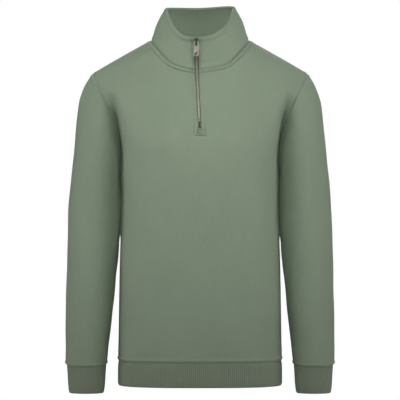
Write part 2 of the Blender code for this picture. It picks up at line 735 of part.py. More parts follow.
def tape_section(slit, side, row, apart):
    """A tape's section at a row: flat behind the cloth. Where it has teeth, which is where apart is None,
    its edge stands in the slit."""
    wall = slit.wall_at(row)
    face, back = wall + TAPE_GAP, wall + TAPE_GAP + TAPE_THICK
    near, rise = (CHAIN_SPLIT, CHAIN_DEEP) if apart is None else (apart, face - TAPE_EDGE_STEP)
    bend, reach = SLIT_HALF + TAPE_BEND, SLIT_HALF + TAPE_REACH
    profile = [
        (near, back),
        (near, rise),
        (CHAIN_HALF, rise),
        (CHAIN_HALF, face),
        (bend, face),
        (reach, face),
        (reach, back),
        (bend, back),
    ]
    return [slit.place(side, row, across, depth) for across, depth in profile]


def zip_tape(slit, side, word):
    top_row = len(slit.row_z) - TAPE_TOP_ROWS
    chain_end, chain_top = slit.row_at(CHAIN_END_Z), slit.row_at(CHAIN_TOP_Z)
    tape_end = slit.row_at(ZIP_END_Z - TAPE_END_BELOW)
    step = TAPE_STEP_ROWS
    below, above = TAPE_APART_BELOW, TAPE_APART_ABOVE
    stations = [(tape_end, below)]
    stations += [(float(r), below) for r in range(math.ceil(tape_end), math.ceil(chain_end - step))]
    stations += [(chain_end - step, below), (chain_end, None)]
    stations += [(float(r), None) for r in range(math.ceil(chain_end + step), math.ceil(chain_top))]
    stations += [(chain_top, None), (chain_top + step, above), (top_row, above)]
    sections = [tape_section(slit, side, row, apart) for row, apart in stations]
    swept(f"zip_tape_{word}", sections, SAGE_TAPE)


def profile_solid(frame, outline, half):
    """A solid of one width across, from its outline in (up, out)."""
    mesh = bmesh.new()
    sides = []
    for across in (-half, half):
        sides.append([mesh.verts.new(to_world(frame, across, up, out)) for up, out in outline])
    count = len(outline)
    for k in range(count):
        m = (k + 1) % count
        mesh.faces.new([sides[0][k], sides[0][m], sides[1][m], sides[1][k]])
    mesh.faces.new(sides[0])
    mesh.faces.new(sides[1])
    return mesh


def to_world(frame, across, up, out):
    """A place in a frame of three directions and an origin, in metres."""
    return Vector(frame[0] * across + frame[1] * up + frame[2] * out + frame[3]) * MM


def zip_frame(slit):
    """The slider's frame: across, up along the zip, out, and the point of the cloth's face behind the
    pull tab's axis."""
    row = slit.row_at(AXIS_Z)
    low, high = slit.row_at(AXIS_Z - TAB_RUN), slit.row_at(AXIS_Z)
    middle = [(slit.place(1, r, 0, 0) + slit.place(-1, r, 0, 0)) / 2 for r in (low, high)]
    across = np.array([1.0, 0, 0])
    up = middle[1] - middle[0]
    up[0] = 0
    up /= np.linalg.norm(up)
    origin = (slit.place(1, row, 0, 0) + slit.place(-1, row, 0, 0)) / 2
    return across, up, np.cross(across, up), origin


def zip_slider(frame):
    """The slider: its front and back plates, the neck between them above the teeth, and the crown that
    holds the pull tab. It is one outline, of three widths, joined where they meet."""
    front_in, front_out = PLATE_OUT
    back_in, back_out = BACK_PLATE_OUT
    low, high = CROWN_OPEN
    crown_foot = front_out - JOIN_DEPTH
    crown = [
        (high + CROWN_THICK, crown_foot),
        (high + CROWN_THICK, CROWN_OUT - CROWN_BEVEL),
        (high, CROWN_OUT + CROWN_THICK),
        (low, CROWN_OUT + CROWN_THICK),
        (low - CROWN_THICK, CROWN_OUT - CROWN_BEVEL),
        (low - CROWN_THICK, crown_foot),
        (low, crown_foot),
        (low, CROWN_OUT - CROWN_BEVEL),
        (low + CROWN_BEVEL, CROWN_OUT),
        (high - CROWN_BEVEL, CROWN_OUT),
        (high, CROWN_OUT - CROWN_BEVEL),
        (high, crown_foot),
    ]
    parts = []
    plate = []
    for side in (1, -1):
        edge = [
            (SLIDER_BOTTOM, SLIDER_HALF - SLIDER_FOOT_IN),
            (SLIDER_WIDEST[0], SLIDER_HALF),
            (SLIDER_WIDEST[1], SLIDER_HALF),
            (SLIDER_TOP, SLIDER_HALF - SLIDER_HEAD_IN),
        ]
        plate += [(up, across * side) for up, across in edge[::side]]
    for out in (PLATE_OUT, BACK_PLATE_OUT):
        parts.append(flat_plate(frame, plate, [], out))
    neck_low, neck_high = NECK_UP
    behind, before = back_out - JOIN_DEPTH, front_in + JOIN_DEPTH
    neck = [(neck_low, behind), (neck_high, behind), (neck_high, before), (neck_low, before)]
    parts.append(profile_solid(frame, crown, CROWN_HALF))
    parts.append(profile_solid(frame, neck, NECK_HALF_WIDTH))
    return joined("zip_slider", parts, NICKEL)


def flat_plate(frame, outline, holes, out):
    """A plate from its outline and its holes' outlines in (up, across), between two distances out."""
    mesh = bmesh.new()
    edges = []
    for loop in (outline, *holes):
        verts = [mesh.verts.new(to_world(frame, across, up, out[0])) for up, across in loop]
        edges += [mesh.edges.new((a, b)) for a, b in zip(verts, verts[1:] + verts[:1])]
    bmesh.ops.triangle_fill(mesh, edges=edges, use_beauty=True)
    grown = bmesh.ops.extrude_face_region(mesh, geom=mesh.faces[:])
    moved = [v for v in grown["geom"] if isinstance(v, bmesh.types.BMVert)]
    bmesh.ops.translate(mesh, verts=moved, vec=Vector(frame[2]) * (out[1] - out[0]) * MM)
    return mesh


def joined(name, parts, paint):
    """One solid from overlapping ones."""
    objects = [finished(f"{name}_{k}", mesh, paint) for k, mesh in enumerate(parts)]
    whole = objects[0]
    for other in objects[1:]:
        union = whole.modifiers.new("join", "BOOLEAN")
        union.operation = "UNION"
        union.solver = "EXACT"
        union.object = other
    graph = bpy.context.evaluated_depsgraph_get()
    mesh = bmesh.new()
    mesh.from_object(whole, graph)
    bmesh.ops.triangulate(mesh, faces=mesh.faces)
    for obj in objects:
        bpy.data.objects.remove(obj)
    return finished(name, mesh, paint)


def squarish(up, half, power, count=16):
    """A hole's outline, round when power is 1, and squarer as it falls."""
    outline = []
    for k in range(count):
        turn = (k + 0.5) / count * 2 * math.pi
        c, s = math.cos(turn), math.sin(turn)
        rise = math.copysign(abs(s) ** power, s)
        reach = math.copysign(abs(c) ** power, c)
        outline.append((up + half * rise, half * reach))
    return outline


def pull_tab(frame):
    """The pull tab: a plate with a slot for the crown below its cross bar, and a hole near its end."""
    corner, cut, shoulder = TAB_CORNER, TAB_CORNER * TAB_CORNER_CUT, TAB_TOP_CORNER
    right_side = [
        (TAB_TOP, TAB_HALF - shoulder),
        (TAB_TOP - shoulder, TAB_HALF),
        (TAB_BOTTOM + corner, TAB_HALF),
        (TAB_BOTTOM + cut, TAB_HALF - cut),
        (TAB_BOTTOM, TAB_HALF - corner),
    ]
    outline = right_side + [(up, -across) for up, across in right_side[::-1]]
    low, high = TAB_SLOT
    wide, narrow = TAB_SLOT_HALF, TAB_SLOT_HALF - TAB_SLOT_CORNER
    above = low + TAB_SLOT_CORNER
    slot = [(low, -narrow), (low, narrow), (above, wide), (high, wide), (high, -wide), (above, -wide)]
    hole = squarish(TAB_HOLE_UP, TAB_HOLE_HALF, TAB_HOLE_SQUARE)
    out = (AXIS_OUT - TAB_THICK / 2, AXIS_OUT + TAB_THICK / 2)
    finished("pull_tab", flat_plate(frame, outline, [slot, hole], out), NICKEL)


def zip_stop(slit):
    """The stop that closes the chain's lower end."""
    sections = []
    front = CHAIN_DEEP - STOP_RAISE
    for stop in ZIP_STOP:
        row = slit.row_at(stop.z)
        corners = [(1, front), (1, slit.wall_at(row)), (-1, slit.wall_at(row)), (-1, front)]
        sections.append([slit.place(side, row, stop.half, depth) for side, depth in corners])
    swept("zip_stop", sections, NICKEL)


def zip_fastener(front, collar, middle):
    slit = Slit(front, collar, middle)
    zip_tape(slit, 1, "left")
    zip_tape(slit, -1, "right")
    zip_stop(slit)
    frame = zip_frame(slit)
    zip_slider(frame)
    pull_tab(frame)


def main():
    for obj in list(bpy.data.objects):
        bpy.data.objects.remove(obj)
    collection = bpy.data.collections.new("sweater")
    bpy.context.scene.collection.children.link(collection)

    front = Cloth("front_panel", front_points(), FLEECE, seams="bottom top left right")
    back = Cloth("back_panel", back_points(), FLEECE, seams="bottom top left right")
    neck_front, neck_back = FRONT_NECK_STEPS, BACK_NECK_STEPS
    middle = front.points.shape[1] // 2
    neckline = np.concatenate(
        [
            front.points[-1, middle : middle + neck_front + 1],
            back.points[-1, SHOULDER_STEPS : SHOULDER_STEPS + 2 * neck_back + 1][::-1][1:-1],
            front.points[-1, middle - 1 - neck_front : middle],
        ]
    )
    collar = Cloth(
        "collar", collar_points(neckline), DOUBLED_COLLAR, seams="bottom", turned_top=True
    )
    arm_rows = slice(SIDE_ROWS, None)
    sleeves = []
    for side, word in ((1, "left"), (-1, "right")):
        column = -1 if side > 0 else 0
        by_front = front.points[arm_rows, column][::-1]
        by_back = back.points[arm_rows, column]
        armhole = np.concatenate([by_front, by_back[1:-1]]) * [side, 1, 1]
        points = sleeve_points(armhole) * [side, 1, 1]
        sleeve = Cloth(f"sleeve_{word}", points, FLEECE, closed=True, seams="bottom top")
        sleeves.append(sleeve)
    pieces = [front, back, collar, *sleeves]
    share_seam_normals(pieces)
    settle_neck_points(collar, (front, back))
    for side, column, sleeve in ((1, -1, sleeves[0]), (-1, 0, sleeves[1])):
        for panel in (front, back):
            edge = panel.points[arm_rows, column]
            panel.normals[arm_rows, column] = armhole_normals(edge, side, False)
        sleeve.normals[0] = armhole_normals(sleeve.points[0], side, True)
    first_open = int(np.argmin(np.abs(front.points[:, middle, 2] - ZIP_END_Z)))
    front.removed = {(r, middle - 1) for r in range(first_open, front.points.shape[0] - 1)}
    for piece in pieces:
        piece.hold_back_from_seams()
        piece.build(SAGE_FLEECE)

    ribbed_band("waistband", waist_rings(), WAIST_INNER, DOUBLED_RIB, SAGE_RIB)
    for side, word in ((1, "left"), (-1, "right")):
        ribbed_band(f"cuff_{word}", cuff_rings(side), CUFF_INNER, DOUBLED_RIB, SAGE_RIB)
    zip_fastener(front, collar, middle)


main()
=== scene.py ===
"""Sage quarter zip sweater: brushed fleece body and sleeves, doubled stand collar, rib cuffs and
waistband, and a metal zip. The cloth's form comes from the same tables as the solids, in millimetres:
X across (+X is the wearer's left), -Y to the front, +Z up, from between the shoulders' neck points.
"""

import math
from collections import namedtuple

import bmesh
import bpy
import numpy as np
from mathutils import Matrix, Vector


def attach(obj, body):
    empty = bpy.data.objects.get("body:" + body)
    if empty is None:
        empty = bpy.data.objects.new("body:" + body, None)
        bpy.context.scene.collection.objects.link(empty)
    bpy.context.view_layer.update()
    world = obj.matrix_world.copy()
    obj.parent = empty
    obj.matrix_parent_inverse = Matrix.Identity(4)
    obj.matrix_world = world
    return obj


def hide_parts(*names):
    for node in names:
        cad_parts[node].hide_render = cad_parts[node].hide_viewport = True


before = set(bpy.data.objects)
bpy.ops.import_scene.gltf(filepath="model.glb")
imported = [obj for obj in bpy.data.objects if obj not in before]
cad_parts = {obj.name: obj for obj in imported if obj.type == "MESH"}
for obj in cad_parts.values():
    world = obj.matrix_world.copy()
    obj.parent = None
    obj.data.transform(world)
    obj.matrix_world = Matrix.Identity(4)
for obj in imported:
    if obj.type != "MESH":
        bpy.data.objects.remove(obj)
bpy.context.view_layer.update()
MM = 0.001
BACKWARD = np.array([0, 1, 0])

# A soft ridge of the cloth, or a groove if its height is negative, by its distance from an edge
Ridge = namedtuple("Ridge", "at width height")

# ---------------------------------------------------------------- the garment's form, as in the solids

FLEECE = 2.0
DOUBLED_COLLAR = 3.4
DOUBLED_RIB = 2.8
WAIST_SEAM_Z = -647.0
UNDERARM_Z = -268.0
NECK_HALF = 99.5
FRONT_NECK_DROP = 61.0
BACK_NECK_RISE = 5.0
BACK_NECK_CURVE = 2.0
NECK_CURVE = 1.65
NECK_DEPTH = 75.0
NECK_CONE_RISE = 36.15
NECK_CONE_CURVE = 1.5
SHOULDER_X = 218.0
SHOULDER_SLOPE = 0.545
SHOULDER_CURVE = 0.0002
RIDGE_Y = 6.0
SHOULDER_FALL_AT_NECK = 170.0
SHOULDER_FALL_SLOPE = 0.28
ROUND = 2.3
LOW_ROUND = 2.8
ROUND_CHANGE_Z = (-200.0, -290.0)
SLIT_HALF = 3.5
ZIP_END_Z = -182.0
ZIP_LEAN_TOP = -7.8
ZIP_LEAN_CURVE = 1.6
ZIP_LEAN_REACH = 60.0
SIDE_SEAM_SHARE = 0.06
SIDE_ROWS = 12
ARM_ROWS = 13
SLIT_END_ROW = SIDE_ROWS + 6
FRONT_NECK_STEPS = 8
BACK_NECK_STEPS = 6
SHOULDER_STEPS = 5
ROW_DIP = 26.0
ROW_DIP_POWER = 6
NECK_FAN = 4.0
NECK_SLANT = 0.5
BOW_POWER = 3
COLUMN_STATIONS = 241
COLLAR_SWELL = 4.5
COLLAR_SWELL_POWER = 1.7
COLLAR_LIFT = 3.0
COLLAR_LIFT_REACH = 60.0
ARMHOLE_FADE_ROWS = 6

TorsoRow = namedtuple("TorsoRow", "z half_width front back")
TORSO = [
    TorsoRow(-700, 166.0, 122, 116),
    TorsoRow(-642, 165.2, 121, 115),
    TorsoRow(-560, 164.0, 118.5, 110),
    TorsoRow(-480, 162.8, 117, 104.5),
    TorsoRow(-420, 161.2, 118, 103),
    TorsoRow(-380, 159.2, 120.5, 105),
    TorsoRow(-345, 157.9, 124, 109),
    TorsoRow(-310, 157.3, 127.5, 113.5),
    TorsoRow(-285, 158.2, 130, 117.5),
    TorsoRow(-268, 161.0, 131, 120),
    TorsoRow(-250, 166.0, 131.5, 122),
    TorsoRow(-225, 173.0, 130.5, 124),
    TorsoRow(-175, 192.0, 123, 125),
    TorsoRow(-135, 210.0, 112, 119),
    TorsoRow(-91, 224.0, 93, 108),
    TorsoRow(-60, 230.0, 80, 99),
    TorsoRow(0, 235.0, 74, 90),
]

WAISTBAND = [
    TorsoRow(-647.2, 164.3, 120.6, 114.6),
    TorsoRow(-659, 166.0, 122, 116),
    TorsoRow(-693.5, 166.2, 122.5, 116.5),
    TorsoRow(-697.5, 164.4, 120.8, 114.8),
]

ArmholeRow = namedtuple("ArmholeRow", "z front_x back_x")
ARMHOLE = [
    ArmholeRow(-268, 161, 161),
    ArmholeRow(-263, 160, 161),
    ArmholeRow(-250, 159, 162),
    ArmholeRow(-225, 159.5, 165),
    ArmholeRow(-190, 165, 171),
    ArmholeRow(-160, 174, 179),
    ArmholeRow(-135, 185, 189),
    ArmholeRow(-112, 196, 199),
    ArmholeRow(-91, 207, 209),
    ArmholeRow(-65, 218, 218),
]

CollarRow = namedtuple("CollarRow", "angle x y z")
COLLAR_TOP = [
    CollarRow(0, 0, -52, 2.0),
    CollarRow(20, 24, -50, 4.5),
    CollarRow(40, 41, -42.5, 13.5),
    CollarRow(55, 53.5, -33, 26),
    CollarRow(68, 61.5, -21, 40.5),
    CollarRow(80, 66.5, -8, 54),
    CollarRow(92, 69.3, 5, 63),
    CollarRow(105, 69, 16, 66),
    CollarRow(120, 65.5, 28, 67),
    CollarRow(140, 52, 41, 67.7),
    CollarRow(160, 29, 49, 68),
    CollarRow(180, 0, 51.5, 68),
]

SleeveRow = namedtuple("SleeveRow", "ring outer_x outer_z inner_x inner_z y front back")
SLEEVE = [
    SleeveRow(0, 218, -67.4, 161, -268, 5, 68, 62),
    SleeveRow(1, 228, -82, 161.6, -270, 4, 70, 63),
    SleeveRow(2, 237.6, -102.5, 161.8, -273, 3, 71.5, 63),
    SleeveRow(3, 245.3, -126.5, 161.6, -278, 2, 71, 62.5),
    SleeveRow(4, 249.6, -158, 160.8, -286, 1, 69, 61.5),
    SleeveRow(5, 253.2, -196, 160, -297, 0, 66.5, 60.5),
    SleeveRow(6, 257.4, -240, 159.6, -312, -1, 64, 59),
    SleeveRow(7, 262, -288, 159.5, -332, -2, 62, 58),
    SleeveRow(8, 265.6, -335, 160.4, -358, -3, 60.5, 57),
    SleeveRow(9, 267.6, -378, 161.9, -390, -5, 59, 55.5),
    SleeveRow(10, 269.1, -425, 164.3, -430, -8, 57, 53.5),
    SleeveRow(11, 270, -475, 169, -477, -12, 54.5, 51.5),
    SleeveRow(12, 270.6, -525, 174.2, -526, -17, 51.5, 49),
    SleeveRow(13, 271.2, -570, 178.9, -570, -23, 48.5, 46.5),
    SleeveRow(14, 271.1, -613, 183.7, -613, -29, 45.5, 44),
    SleeveRow(15, 270.6, -654, 187.6, -654, -35, 43.5, 42.5),
]

CuffRow = namedtuple("CuffRow", "z outer_x inner_x y front back")
CUFF = [
    CuffRow(-654.2, 268.4, 188.9, -35.0, 41.7, 40.7),
    CuffRow(-668, 267.3, 189.7, -36.5, 40.6, 39.6),
    CuffRow(-709, 263.9, 193.2, -40.3, 37.0, 36.0),
    CuffRow(-712, 262.4, 195.0, -40.5, 35.2, 34.2),
]

# Soft folds: a trough (negative depth) or ridge between two places of the front view, on both sides
Fold = namedtuple("Fold", "x0 z0 x1 z1 width depth")
FOLD_END = 0.25
FRONT_FOLDS = [
    Fold(184, -118, 169, -172, 12, -8.0),
    Fold(169, -172, 158, -256, 12, -11.0),
    Fold(52, -212, 150, -208, 27, 6.0),
    Fold(130, -300, 118, -480, 26, 2.0),
    Fold(90, -330, 84, -600, 30, -2.0),
    Fold(40, -360, 46, -610, 30, 1.6),
]
BACK_FOLDS = [
    Fold(186, -130, 172, -180, 12, -6.0),
    Fold(172, -180, 160, -256, 12, -9.0),
    Fold(40, -150, 130, -165, 45, 3.0),
    Fold(128, -290, 110, -520, 26, 2.6),
    Fold(80, -330, 72, -600, 30, -2.6),
    Fold(34, -400, 40, -610, 28, 2.0),
]

# ---------------------------------------------------------------- soft forms that the solids leave out

# The front's neckline is a little lower beside the zip, and higher near the shoulders
NECK_BENDS = (Ridge(55.0, 17, -3.6), Ridge(88.0, 9, 2.0))

# Sewing: seams are pressed in, with the cloth beside them swollen, and stitched lines are pressed in too
SEAM_WIDTH = 1.4
SEAM_SWELL_AT = 5.0
SEAM_SWELL_WIDTH = 3.0
UNDERARM_SEAM = Ridge(0, 2.6, -0.6)
TAPE_RAISE = 0.6  # of a band whose allowance is stitched down
TAPE_EDGE = 0.8

# The seam below the collar and the line stitched beside it, which are deepest in front
NECK_STITCH = 8.6
NECK_SEAM = Ridge(0, SEAM_WIDTH, -2.9)
NECK_GROOVE = Ridge(NECK_STITCH, 1.0, -2.6)
NECK_FRONT_Z = -8.0
NECK_FRONT_REACH = 22.0
NECK_SIDE_SHARE = 0.3

# The cloth over a ribbed band, from their seam
BAND_SEAM_WIDTH = 1.5
OVER_BAND = (Ridge(3.4, 3.2, 1.5), Ridge(18, 12, 0.4))

# The line stitched round the zip, which is pressed deeper at its foot, and the small box below the zip
ZIP_STITCH = 10.7  # from the zip's middle
ZIP_STITCH_Z = -197.0
ZIP_FOOT_Z = -172.0
ZIP_FOOT_REACH = 15.0
ZIP_PRESS = 0.12
ZIP_FOOT_PRESS = 1.3
ZIP_GROOVE = Ridge(0, 1.1, -1.6)
SLIT_EDGE = Ridge(SLIT_HALF, 1.2, -0.8)
BOX_HALF = 5.2
BOX_TOP_Z = -185.6
BOX_HIGH = 6.6
BOX_GROOVE = Ridge(0, 1.0, -3.4)

# Stitches: their share of the pitch is thread that shows, and the reach is how far off one is looked for
STITCH_PITCH = 3.0
STITCH_SHARE = 0.8
STITCH_REACH = 4.0
THREAD_WIDE = 0.65
THREAD_FLAT = 0.8
THREAD_RAISE = 0.08

# The collar: its seam, the roll of its doubled edge and the dip below that, and its two ends at the zip
COLLAR_FOOT = Ridge(0, 4.0, -1.3)
COLLAR_ROLL = Ridge(3.5, 3.4, 1.4)
COLLAR_DIP = Ridge(10.5, 4.5, -1.2)
COLLAR_DIP_Y = -6.0
COLLAR_DIP_REACH = 15.0
COLLAR_END = Ridge(0, 1.2, -0.7)
COLLAR_END_GROOVE = Ridge(ZIP_STITCH - SLIT_HALF, 0.9, -0.3)
COLLAR_FOLD_SWELL = 2.6
COLLAR_FOLD_REACH = 14.0
COLLAR_FOLD_ENDS = (8.0, 15.0)
COLLAR_SIDE_BLEND = 20.0
TURNED_EDGE = (22, 45, 67, 90, 113, 135, 158)  # degrees over the fold

# The zip's tapes. Each has a cord along its inner edge, at a depth behind the cloth's face.
TAPE_GAP = 0.3
TAPE_THICK = 0.8
TAPE_REACH = 9.0
TAPE_APART_ABOVE = 2.4
TAPE_APART_BELOW = 0.9
TAPE_STEP = 2.5
TAPE_TOP_ROWS = 1.5  # of the collar's, from its edge
TAPE_TOP_SECTIONS = 5
TAPE_BELOW = 6.0
TAPE_OPENING = 6.0
TAPE_FLAT_AT = 7.0
TAPE_FRONT_AT = 0.6
TAPE_BACK_AT = 0.9
CORD_START = 0.5
CORD_DEPTH = 1.3
CORD_THICK = 1.6
BESIDE_SLIT = 0.6  # of a column's width

# The zip's chain
CHAIN_END_Z = -162.5
CHAIN_TOP_Z = -3.2
FIRST_TOOTH = 1.0
LAST_TOOTH = 2.0
TOOTH_LONG = 2.7
TOOTH_HIGH = 1.15
TOOTH_DEEP = 1.5
TOOTH_AT = 0.75
TOOTH_DEPTH = 0.9
TOOTH_PITCH = 2.7
TOOTH_SIGHT = 3.0  # how far up a tooth's direction is read
TOOTH_NOSE = (1, 0.6, 0.8)
TOOTH_BEVEL = 0.18
CAST_BEVEL = 0.22

# Ribbed bands, with the heights of the knit's lines of points, closer at the seam and the turned edge
WAIST_RIBS = 234
WAIST_RIB_POINTS = 6
CUFF_RIBS = 66
CUFF_RIB_POINTS = 8
RIB_DEPTH = 0.7
RIB_GROOVE = 1.4
RIB_START = 0.35
RIB_FADE = 2.5
WAIST_LINES = (
    -647.2, -647.8, -648.8, -650.5, -653, -656.5, -662, -670, -680, -688, -692.5, -695, -696.5, -697.5
)
CUFF_LINES = (-654.2, -654.8, -656, -658, -661, -666, -673, -684, -695, -703, -707, -709.5, -711, -712)

# Slow waves of a real cloth's surface, by their lengths across and up, their phase and their height
Wave = namedtuple("Wave", "wide tall phase height")
WAVES = (
    Wave(150, 260, 0.4, 0.42),
    Wave(-92, 170, 2.1, 0.3),
    Wave(61, -118, 4.0, 0.2),
    Wave(-230, 80, 1.2, 0.22),
)

# How the pieces shift, slant or stretch the waves, so that no two match
BODY_WAVES_SHIFT = 20.0
BODY_WAVES_SLANT = 0.3
SLEEVE_WAVES_SHIFT = 70.0
SLEEVE_WAVES_STRETCH = 1.3
COLLAR_WAVES_ACROSS = 0.8
COLLAR_WAVES_UP = 1.5
COLLAR_WAVES_SHARE = 0.6

# Creases behind the elbow: distance down from the armhole, slant in mm a degree, and the middle and
# half the reach in degrees round the arm, from its outside by the front
Crease = namedtuple("Crease", "down slant middle reach width depth")
ELBOW_CREASES = [
    Crease(150, 0.25, 235, 70, 13, -2.2),
    Crease(205, -0.2, 230, 65, 15, -2.6),
    Crease(178, 0.0, 232, 60, 13, 1.6),
    Crease(262, 0.3, 240, 60, 18, -1.8),
    Crease(400, -0.3, 225, 80, 22, -1.6),
]
SLEEVE_MM_A_DEGREE = 0.8

# The crease along the lower armhole: a narrow and a broad hollow, which start inside the seam and join it
# lower down. Each has its widths towards the body and towards the sleeve.
Hollow = namedtuple("Hollow", "to_body to_sleeve depth")
ARMPIT_HOLLOWS = (Hollow(8.0, 11.0, 32.0), Hollow(10.0, 30.0, 6.5))
ARMPIT_Z = (-95.0, -285.0)
ARMPIT_FADE = (80.0, 20.0)
ARMPIT_START = 18.0
ARMPIT_IN = 2.8
ARMPIT_JOIN_Z = -195.0
ARMPIT_TURN = 25.0

# The hollow along the zip, from below the neckline up to the collar's edge
VALLEY_Z = (-92.0, 2.0)
VALLEY_DEEP_Z = -42.0
VALLEY_RISE_SHARE = 0.6
VALLEY_WIDTH = 6.8
VALLEY_DEPTH = 13.0

# The collar's front goes in below its edge
HOLLOW_HALF = 62.0
HOLLOW_DEPTH = 12.0
HOLLOW_FOOT = 0.2
HOLLOW_POWER = 0.8
HOLLOW_FLAT = 1.2

# The seams at the cuffs hang lower in front, and the cloth follows this far above and below
CUFF_HANG = 4.0
CUFF_HANG_ABOVE = 45.0
CUFF_HANG_BELOW = 48.0
CUFF_HANG_END = 2.0

# Where a sleeve and the body touch below the armpit
Contact = namedtuple("Contact", "y width height")
BODY_CONTACT = Contact(-16, 12, 2.3)
SLEEVE_CONTACT = Contact(12, 13, 2.4)
CONTACT_Z = (-262.0, -412.0)
CONTACT_FADE = (25.0, 25.0)
CONTACT_X = 200.0

# What is cut from cloth: the flat size and area of the layer that shows, in metres, and how it is held
Cut = namedtuple("Cut", "slot flat area held")
SIDES = ((1, "left"), (-1, "right"))

# Finishes
FLEECE_COLOUR = "#889482"
FLEECE_DARK = "#828F7C"
FLEECE_LIGHT = "#8D9A86"
RIB_COLOUR = "#7F8A78"
RIB_DARK = "#798472"
RIB_LIGHT = "#85907D"
TAPE_COLOUR = "#6E7765"
TAPE_DARK = "#5A6352"
# The thread's colour is the cloth's sage, painted darker as painted shade of the grooves that its stitches
# lie in
THREAD_SHADED_COLOUR = "#76826D"
THREAD_SHADED_DARK = "#64705D"
TAB_COLOUR = "#605C56"
TAB_WORN = "#7F7B74"
# The slider is painted nearly black: painted shade of the gap round it and of the tab's slot, which its crown
# fills. Its rubbed patches are wear.
SLIDER_SHADE_COLOUR = "#2F2C28"
SLIDER_SHADE_WORN = "#4A4640"
TEETH_COLOUR = "#C6BFAE"
TEETH_WORN = "#E8E2D5"

# Patterns, in millimetres across and up, each with its noise's detail and its share of the colour. The
# real yarn, nap and wales are 0.3 to 1 mm apart, and are drawn as coarse as they need to be to show.
Pattern = namedtuple("Pattern", "across up detail share")
YARN = Pattern(2.381, 29.41, 3.0, 0.25)
NAP = Pattern(1.613, 2.083, 2.0, 0.4)
CLOUD = Pattern(62.5, 111.1, 2.0, 0.2)
NOISE_RANGE = {"From Min": 0.32, "From Max": 0.68}
TONE_START = 0.075
WALE = 1.5
WALE_WANDER = 333.3
NAP_HEIGHT = 0.9
LOOP_HEIGHT = 0.35
WEAVE = 1.111
WEAVE_HEIGHT = 0.15
BAND_SCALE = 0.3183  # a wave texture then has about one band for each unit
WEAR_PATCH = 3.846
CAST_GRAIN = 0.4545
CAST_GRAIN_HEIGHT = 0.05
PLY = 0.6667

# Stage, in metres
FLOOR_Z = -1.42
CAMERA_AWAY = 5.5
CAMERA_Z = -0.324
CAMERA_LENS = 244
AMBIENT = 0.01
Lamp = namedtuple("Lamp", "name place aim size power spread tint")
LAMPS = [
    Lamp("left softbox", (-2.4, -1.3, 0.2), (0, 0, -0.15), 1.4, 5.6, 90, "#FFFBFF"),
    Lamp("right softbox", (2.4, -1.3, 0.2), (0, 0, -0.15), 1.4, 5.6, 90, "#FFFBFF"),
    Lamp("left edge", (-2.8, -0.4, 0.3), (0, 0, -0.15), 1.2, 1.6, 70, "#FFFBFF"),
    Lamp("right edge", (2.8, -0.4, 0.3), (0, 0, -0.15), 1.2, 1.6, 70, "#FFFBFF"),
    Lamp("key", (0, -2.0, 2.2), (0, 0, -0.15), 1.4, 4.1, 70, "#F9FFF9"),
    Lamp("fill", (0, -4.0, 0.1), (0, 0, -0.2), 2.0, 1.1, 90, "#FFFBFF"),
    Lamp("chest", (0, -3.4, 0.9), (0, 0, -0.18), 0.8, 0.72, 14, "#F9FFF9"),
    Lamp("back", (0.5, 3.0, 1.2), (0, 0, -0.3), 2.5, 30, 90, "#FFFFFF"),
]


def smooth_curve(at, level):
    """A function through levels at places, that doesn't overshoot."""
    step = np.diff(at)
    slope = np.diff(level) / step
    tangent = np.concatenate([slope[:1], np.zeros(len(at) - 2), slope[-1:]])
    for k in range(1, len(at) - 1):
        if slope[k - 1] * slope[k] > 0:
            before = 2 * step[k] + step[k - 1]
            after = step[k] + 2 * step[k - 1]
            tangent[k] = (before + after) / (before / slope[k - 1] + after / slope[k])

    def value_at(place):
        place = np.clip(place, at[0], at[-1])
        k = np.clip(np.searchsorted(at, place) - 1, 0, len(step) - 1)
        t = (place - at[k]) / step[k]
        ends = level[k] * (1 + 2 * t) * (1 - t) ** 2 + level[k + 1] * t * t * (3 - 2 * t)
        turns = tangent[k] * step[k] * t * (1 - t) ** 2 - tangent[k + 1] * step[k] * t * t * (1 - t)
        return ends + turns

    return value_at


def smooth_curves(table):
    """A smooth function for each column of a table after its first, by the value in the first."""
    at, *levels = np.array(sorted(table), float).T
    return [smooth_curve(at, level) for level in levels]


half_width, front_depth, back_depth = smooth_curves(TORSO)
armhole_front_x, armhole_back_x = smooth_curves(ARMHOLE)


def smoothstep(t):
    """From 0 to 1, eased at both ends."""
    t = np.clip(t, 0, 1)
    return t * t * (3 - 2 * t)


def ridge(distance, at, width, height):
    """A soft ridge, or a groove if its height is negative, at a distance from an edge."""
    return height * np.exp(-(((distance - at) / width) ** 2))


def window(z, ends, fades):
    """1 between two heights, the higher one first, and falling to 0 at them."""
    (high, low), (fade_high, fade_low) = ends, fades
    return smoothstep((high - z) / fade_high) * smoothstep((z - low) / fade_low)


def ridge_z(x):
    """Height of the shoulder ridge, and of the neck's cone inside the neckline."""
    x = np.abs(x)
    cone = NECK_CONE_RISE * (1 - np.minimum(x / NECK_HALF, 1) ** NECK_CONE_CURVE)
    out = np.maximum(x - NECK_HALF, 0)
    return cone - SHOULDER_SLOPE * out - SHOULDER_CURVE * out**2


def fullness(x, z):
    """0 on the shoulder ridge, rising to 1 where the form has its full depth."""
    fall = SHOULDER_FALL_AT_NECK - SHOULDER_FALL_SLOPE * np.abs(x)
    t = np.clip((ridge_z(x) - z) / fall, 0, 1)
    return np.sqrt(1 - (1 - t) ** 2)


def fold_height(folds, x, z):
    """How far folds lift the cloth at a place of the front view."""
    total = np.zeros(np.broadcast(x, z).shape)
    for f in folds:
        along = np.array([f.x1 - f.x0, f.z1 - f.z0])
        length = math.hypot(*along)
        dx, dz = x - f.x0, z - f.z0
        t = (dx * along[0] + dz * along[1]) / length**2
        off = (dx * along[1] - dz * along[0]) / length
        ends = smoothstep(np.minimum(t + FOLD_END, 1 + FOLD_END - t) / (2 * FOLD_END))
        total = total + f.depth * np.exp(-((off / f.width) ** 2)) * ends
    return total


